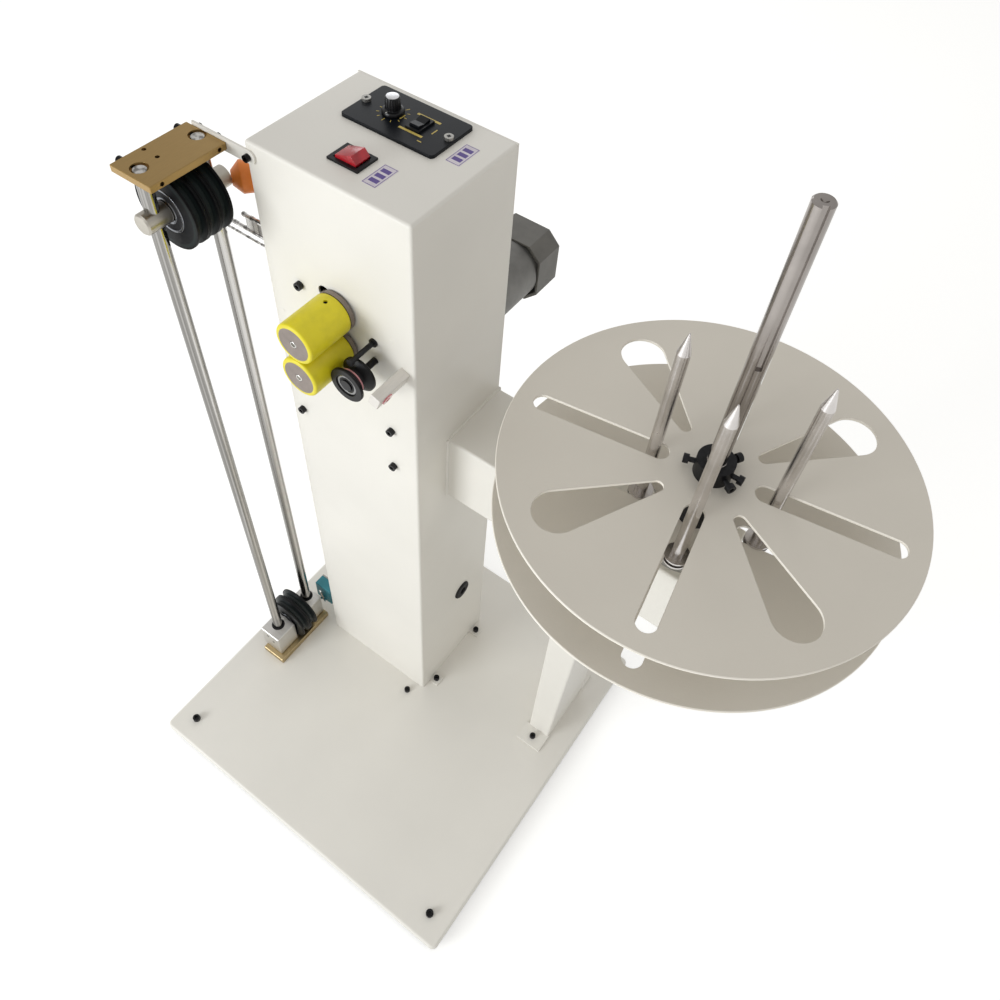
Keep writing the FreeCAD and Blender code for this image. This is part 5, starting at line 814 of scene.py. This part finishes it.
class SPOOLER_OT_controls(Operator):
    """The speed controller with its knob and marks, and the two rocker switches"""
    bl_idname = "spooler.controls"
    bl_label = "Controls"

    def execute(self, context):
        colours, sizes = context.scene.spooler_colours, context.scene.spooler_sizes
        panel = moulded_plastic("black_panel_acrylic", "#0C1016", roughness=0.34, grain=0.0012,
                                depth=0.00001, **{"Specular IOR Level": 0.2})
        dress(panel, "speed_controller")
        black = moulded_plastic("black_switch_nylon", "#0C0E12", roughness=0.38,
                                **{"Specular IOR Level": 0.25})
        dress(black, "switch_housings", "run_rocker")
        knob_black = moulded_plastic("black_knob_phenolic", "#0A0A0D", roughness=0.28,
                                     **{"Specular IOR Level": 0.35})
        centre = middle("speed_knob")
        panel_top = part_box("speed_controller")[1].z
        base = Vector((centre.x, centre.y, panel_top + KNOB_GAP))
        tall = (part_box("speed_knob")[1].z - base.z) * MM
        skirt = turned([(0, 0), (9.4, 0), (9.9, 0.5), (9.9, 2.0), (9.2, 3.4), (7.6, 3.9), (0, 3.9)],
                       steps=72)
        grip = turned([(0, 3.5), (7.1, 3.5), (6.6, tall - 1.0), (6.0, tall - 0.3), (5.7, tall - 0.2),
                       (0, tall - 0.2)], steps=sizes.knob_flutes * 8)
        plain, flute = 6.2, 0.045
        for vert in grip.verts:
            around = math.atan2(vert.co.y, vert.co.x) * sizes.knob_flutes
            if vert.co.xy.length > plain:
                vert.co.xy *= 1 - flute * (0.5 + 0.5 * math.cos(around)) ** 2
        pointer = slab(1.0, 3.4, 0.35, (0, 7.6, 3.5))
        piece("speed_knob_grip", joined(skirt, grip), facing(base, UP), knob_black, "speed_knob",
              ("speed_knob",))
        piece("speed_knob_pointer", pointer, facing(base, UP), printed_ink("white_ink", "#DCDAD4"),
              "speed_knob")
        cap = rounded(turned([(0, tall - 0.4), (5.6, tall - 0.4), (5.6, tall), (0, tall)], steps=64),
                      0.12)
        spun = turned_metal("spun_aluminium_cap", "#DEDEE0", centre, "Z", roughness=0.3, pitch=0.0006)
        piece("speed_knob_cap", cap, facing(base, UP), spun, "speed_knob")
        self.marks(colours, base, panel_top)
        self.recesses()
        self.power_switch(colours)
        return {"FINISHED"}

    def marks(self, colours, knob, level):
        """A dial of ticks round the knob, and bars by the rocker switch"""
        ink, thick = printed_ink("gold_ink", colours.marks), 0.12
        run = middle("run_rocker")
        ticks, first, step, ring = [], -150, 30, 13.2
        for number in range(11):
            tick = slab(0.7, 2.6 if number % 5 else 4.0, thick, (0, ring, 0))
            ticks.append(placed(tick, Matrix.Rotation(-math.radians(first + step * number), 4, "Z")))
        place = facing(Vector((knob.x, knob.y, level - INK_SUNK)), UP)
        piece("dial_ticks", joined(*ticks), place, ink, "frame")
        bars = [slab(24.6, 2.6, thick, (0, y, 0)) for y in (-12.6, 12.6)]
        bars += [slab(1.1, 7.5, thick, (x, 0, 0)) for x in (-15.5, 18.6)]
        bars.append(slab(4.4, 1.1, thick, (-14, 18.6, 0)))
        place = facing(Vector((run.x, run.y, level - INK_SUNK)), UP)
        piece("switch_marks", joined(*bars), place, ink, "frame")

    def recesses(self):
        """The cross recesses of the panel's two screws, drawn as dark crosses of painted shade laid on
        the heads
        """
        low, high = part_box("speed_controller")
        y = (low.y + high.y) / 2
        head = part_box("small_screws")[1].z
        for name, x in (("left", low.x + PANEL_SCREW_INSET), ("right", high.x - PANEL_SCREW_INSET)):
            cross = joined(slab(3.8, 1.1, 0.2), slab(1.1, 3.8, 0.2))
            piece("panel_screw_recess_" + name, cross,
                  facing(Vector((x, y, head - JUST_UNDER)), UP, RECESS_TURN),
                  blackened_steel("recess_shadow_" + name, "#2A2A2C"), "frame")

    def power_switch(self, colours):
        """The red rocker, rounded over the corners of the CAD's own shape and without its hidden pins"""
        pivot = on_column(*ROCKER_PIVOT)
        corners = {tuple(round(c * MM, 3) for c in vert.co)
                   for vert in NODES["power_rocker"].data.vertices
                   if math.hypot(vert.co.x - pivot.x, vert.co.z - pivot.z) > ROCKER_PIN_REACH}
        source = bmesh.new()
        for corner in sorted(corners):
            source.verts.new(corner)
        bmesh.ops.convex_hull(source, input=source.verts)
        bmesh.ops.dissolve_limit(source, angle_limit=math.radians(2), verts=source.verts,
                                 edges=source.edges)
        rounded(source, 0.5, angle=12)
        piece("power_rocker_clear", source, Matrix.Scale(1 / MM, 4), clear_red(colours.rocker),
              "power_rocker", ("power_rocker",))


class SPOOLER_OT_labels(Operator):
    """The two bordered labels on the column's top, with plain blocks"""
    bl_idname = "spooler.labels"
    bl_label = "Labels"

    def execute(self, context):
        colours, sizes = context.scene.spooler_colours, context.scene.spooler_sizes
        film = finish("label_film", "#D2CAD2", roughness=0.34)
        wrinkle = add(film, "TexNoise", {"Vector": spot(film)}, Scale=1 / 0.008, Detail=2.0)
        tinted(film, wrinkle.outputs["Fac"], "#CBC3CC", "#DAD3DA")
        relief(film, wrinkle.outputs["Fac"], 0.00004)
        ink = printed_ink("violet_ink", colours.print)
        long, wide = sizes.label_length * MM, sizes.label_width * MM
        top = COLUMN[1].z
        thick, margin, line, inset, block, pitch = 0.13, 0.8, 0.5, 5.4, 4.8, 7.4
        for name, x, y in LABELS:
            centre = on_column(x, y, 0)
            place = facing(Vector((centre.x, centre.y, top)), UP)
            base = rounded(slab(wide, long, 0.1), 0.8, chosen=upright)
            piece("label_%s_film" % name, base, place, film, "frame")
            lines = [slab(wide - 2 * margin, line, thick, (0, side * (long / 2 - margin), 0))
                     for side in (-1, 1)]
            lines += [slab(line, long - 2 * margin, thick, (side * (wide / 2 - margin), 0, 0))
                      for side in (-1, 1)]
            blocks = [slab(wide - inset, block, thick, (0, step * pitch, 0)) for step in (-1, 0, 1)]
            piece("label_%s_print" % name, joined(*lines, *blocks), place, ink, "frame")
        return {"FINISHED"}


class SPOOLER_OT_stage(Operator):
    """A pale floor, soft studio light and the camera"""
    bl_idname = "spooler.stage"
    bl_label = "Stage"

    def execute(self, context):
        scene = context.scene
        mesh = bmesh.new()
        bmesh.ops.create_grid(mesh, x_segments=1, y_segments=1, size=FLOOR_HALF)
        data = bpy.data.meshes.new("floor")
        mesh.to_mesh(data)
        mesh.free()
        floor = bpy.data.objects.new("floor", data)
        scene.collection.objects.link(floor)
        data.materials.append(self.paper())
        self.lights(scene)
        eye = bpy.data.cameras.new("camera")
        eye.sensor_width, eye.lens, eye.shift_y = CAMERA_SENSOR, CAMERA_LENS, CAMERA_SHIFT
        eye.clip_start = 0.01
        camera = bpy.data.objects.new("camera", eye)
        camera.location = CAMERA_PLACE
        camera.rotation_euler = [math.radians(angle) for angle in CAMERA_TURN]
        scene.collection.objects.link(camera)
        scene.camera = camera
        scene.view_settings.view_transform = "Standard"
        return {"FINISHED"}

    def paper(self):
        """White studio paper: it looks white to the camera and in reflections, and keeps the shadow"""
        made = finish("studio_paper", "#E8E8E6", roughness=0.9, **{"Specular IOR Level": 0.1})
        links = made.node_tree.links
        rays = add(made, "LightPath")
        seen = add(made, "Math", operation="MAXIMUM")
        links.new(rays.outputs["Is Camera Ray"], seen.inputs[0])
        links.new(rays.outputs["Is Glossy Ray"], seen.inputs[1])
        both = add(made, "Math", operation="MAXIMUM")
        links.new(seen.outputs["Value"], both.inputs[0])
        links.new(rays.outputs["Is Transmission Ray"], both.inputs[1])
        lift = add(made, "Math", operation="MULTIPLY")
        links.new(both.outputs["Value"], lift.inputs[0])
        lift.inputs[1].default_value = PAPER_GLOW
        shader = shader_of(made)
        shader.inputs["Emission Color"].default_value = (1, 1, 1, 1)
        links.new(lift.outputs["Value"], shader.inputs["Emission Strength"])
        return made

    def lights(self, scene):
        """Even sky light, a wide soft window on the front left and a weak one behind"""
        world = bpy.data.worlds.new("studio")
        world.use_nodes = True
        sky = world.node_tree.nodes["Background"]
        sky.inputs["Color"].default_value = SKY_COLOUR
        sky.inputs["Strength"].default_value = SKY_STRENGTH
        scene.world = world
        target = Vector(LAMP_TARGET)
        for name, place, power, width, height in WINDOWS:
            data = bpy.data.lights.new(name, "AREA")
            data.shape, data.size, data.size_y, data.energy = "RECTANGLE", width, height, power
            data.color = WINDOW_COLOUR
            lamp = bpy.data.objects.new(name, data)
            lamp.location = place
            lamp.rotation_euler = (Vector(place) - target).to_track_quat("Z", "Y").to_euler()
            scene.collection.objects.link(lamp)


PARTS = (
    SPOOLER_OT_painted_frame, SPOOLER_OT_fasteners, SPOOLER_OT_turntable, SPOOLER_OT_feed_rollers,
    SPOOLER_OT_drive, SPOOLER_OT_wire_guide, SPOOLER_OT_sheaves, SPOOLER_OT_dancer, SPOOLER_OT_carriage,
    SPOOLER_OT_limit_switch, SPOOLER_OT_controls, SPOOLER_OT_labels, SPOOLER_OT_stage,
)


class SPOOLER_PT_parts(Panel):
    """The machine's sizes, colours and parts"""
    bl_idname = "SPOOLER_PT_parts"
    bl_label = "Wire Spooling Machine"
    bl_space_type = "VIEW_3D"
    bl_region_type = "UI"
    bl_category = "Spooler"

    def draw(self, context):
        for group in (context.scene.spooler_sizes, context.scene.spooler_colours):
            column = self.layout.column()
            for name in group.__annotations__:
                column.prop(group, name)
        for part in PARTS:
            self.layout.operator(part.bl_idname)


CLASSES = (SpoolerSizes, SpoolerColours, *PARTS, SPOOLER_PT_parts)


def register():
    for item in CLASSES:
        bpy.utils.register_class(item)
    bpy.types.Scene.spooler_sizes = PointerProperty(type=SpoolerSizes)
    bpy.types.Scene.spooler_colours = PointerProperty(type=SpoolerColours)


def unregister():
    del bpy.types.Scene.spooler_colours
    del bpy.types.Scene.spooler_sizes
    for item in reversed(CLASSES):
        bpy.utils.unregister_class(item)


def main():
    register()
    for part in PARTS:
        group, name = part.bl_idname.split(".")
        getattr(getattr(bpy.ops, group), name)()


if __name__ == "__main__":
    main()
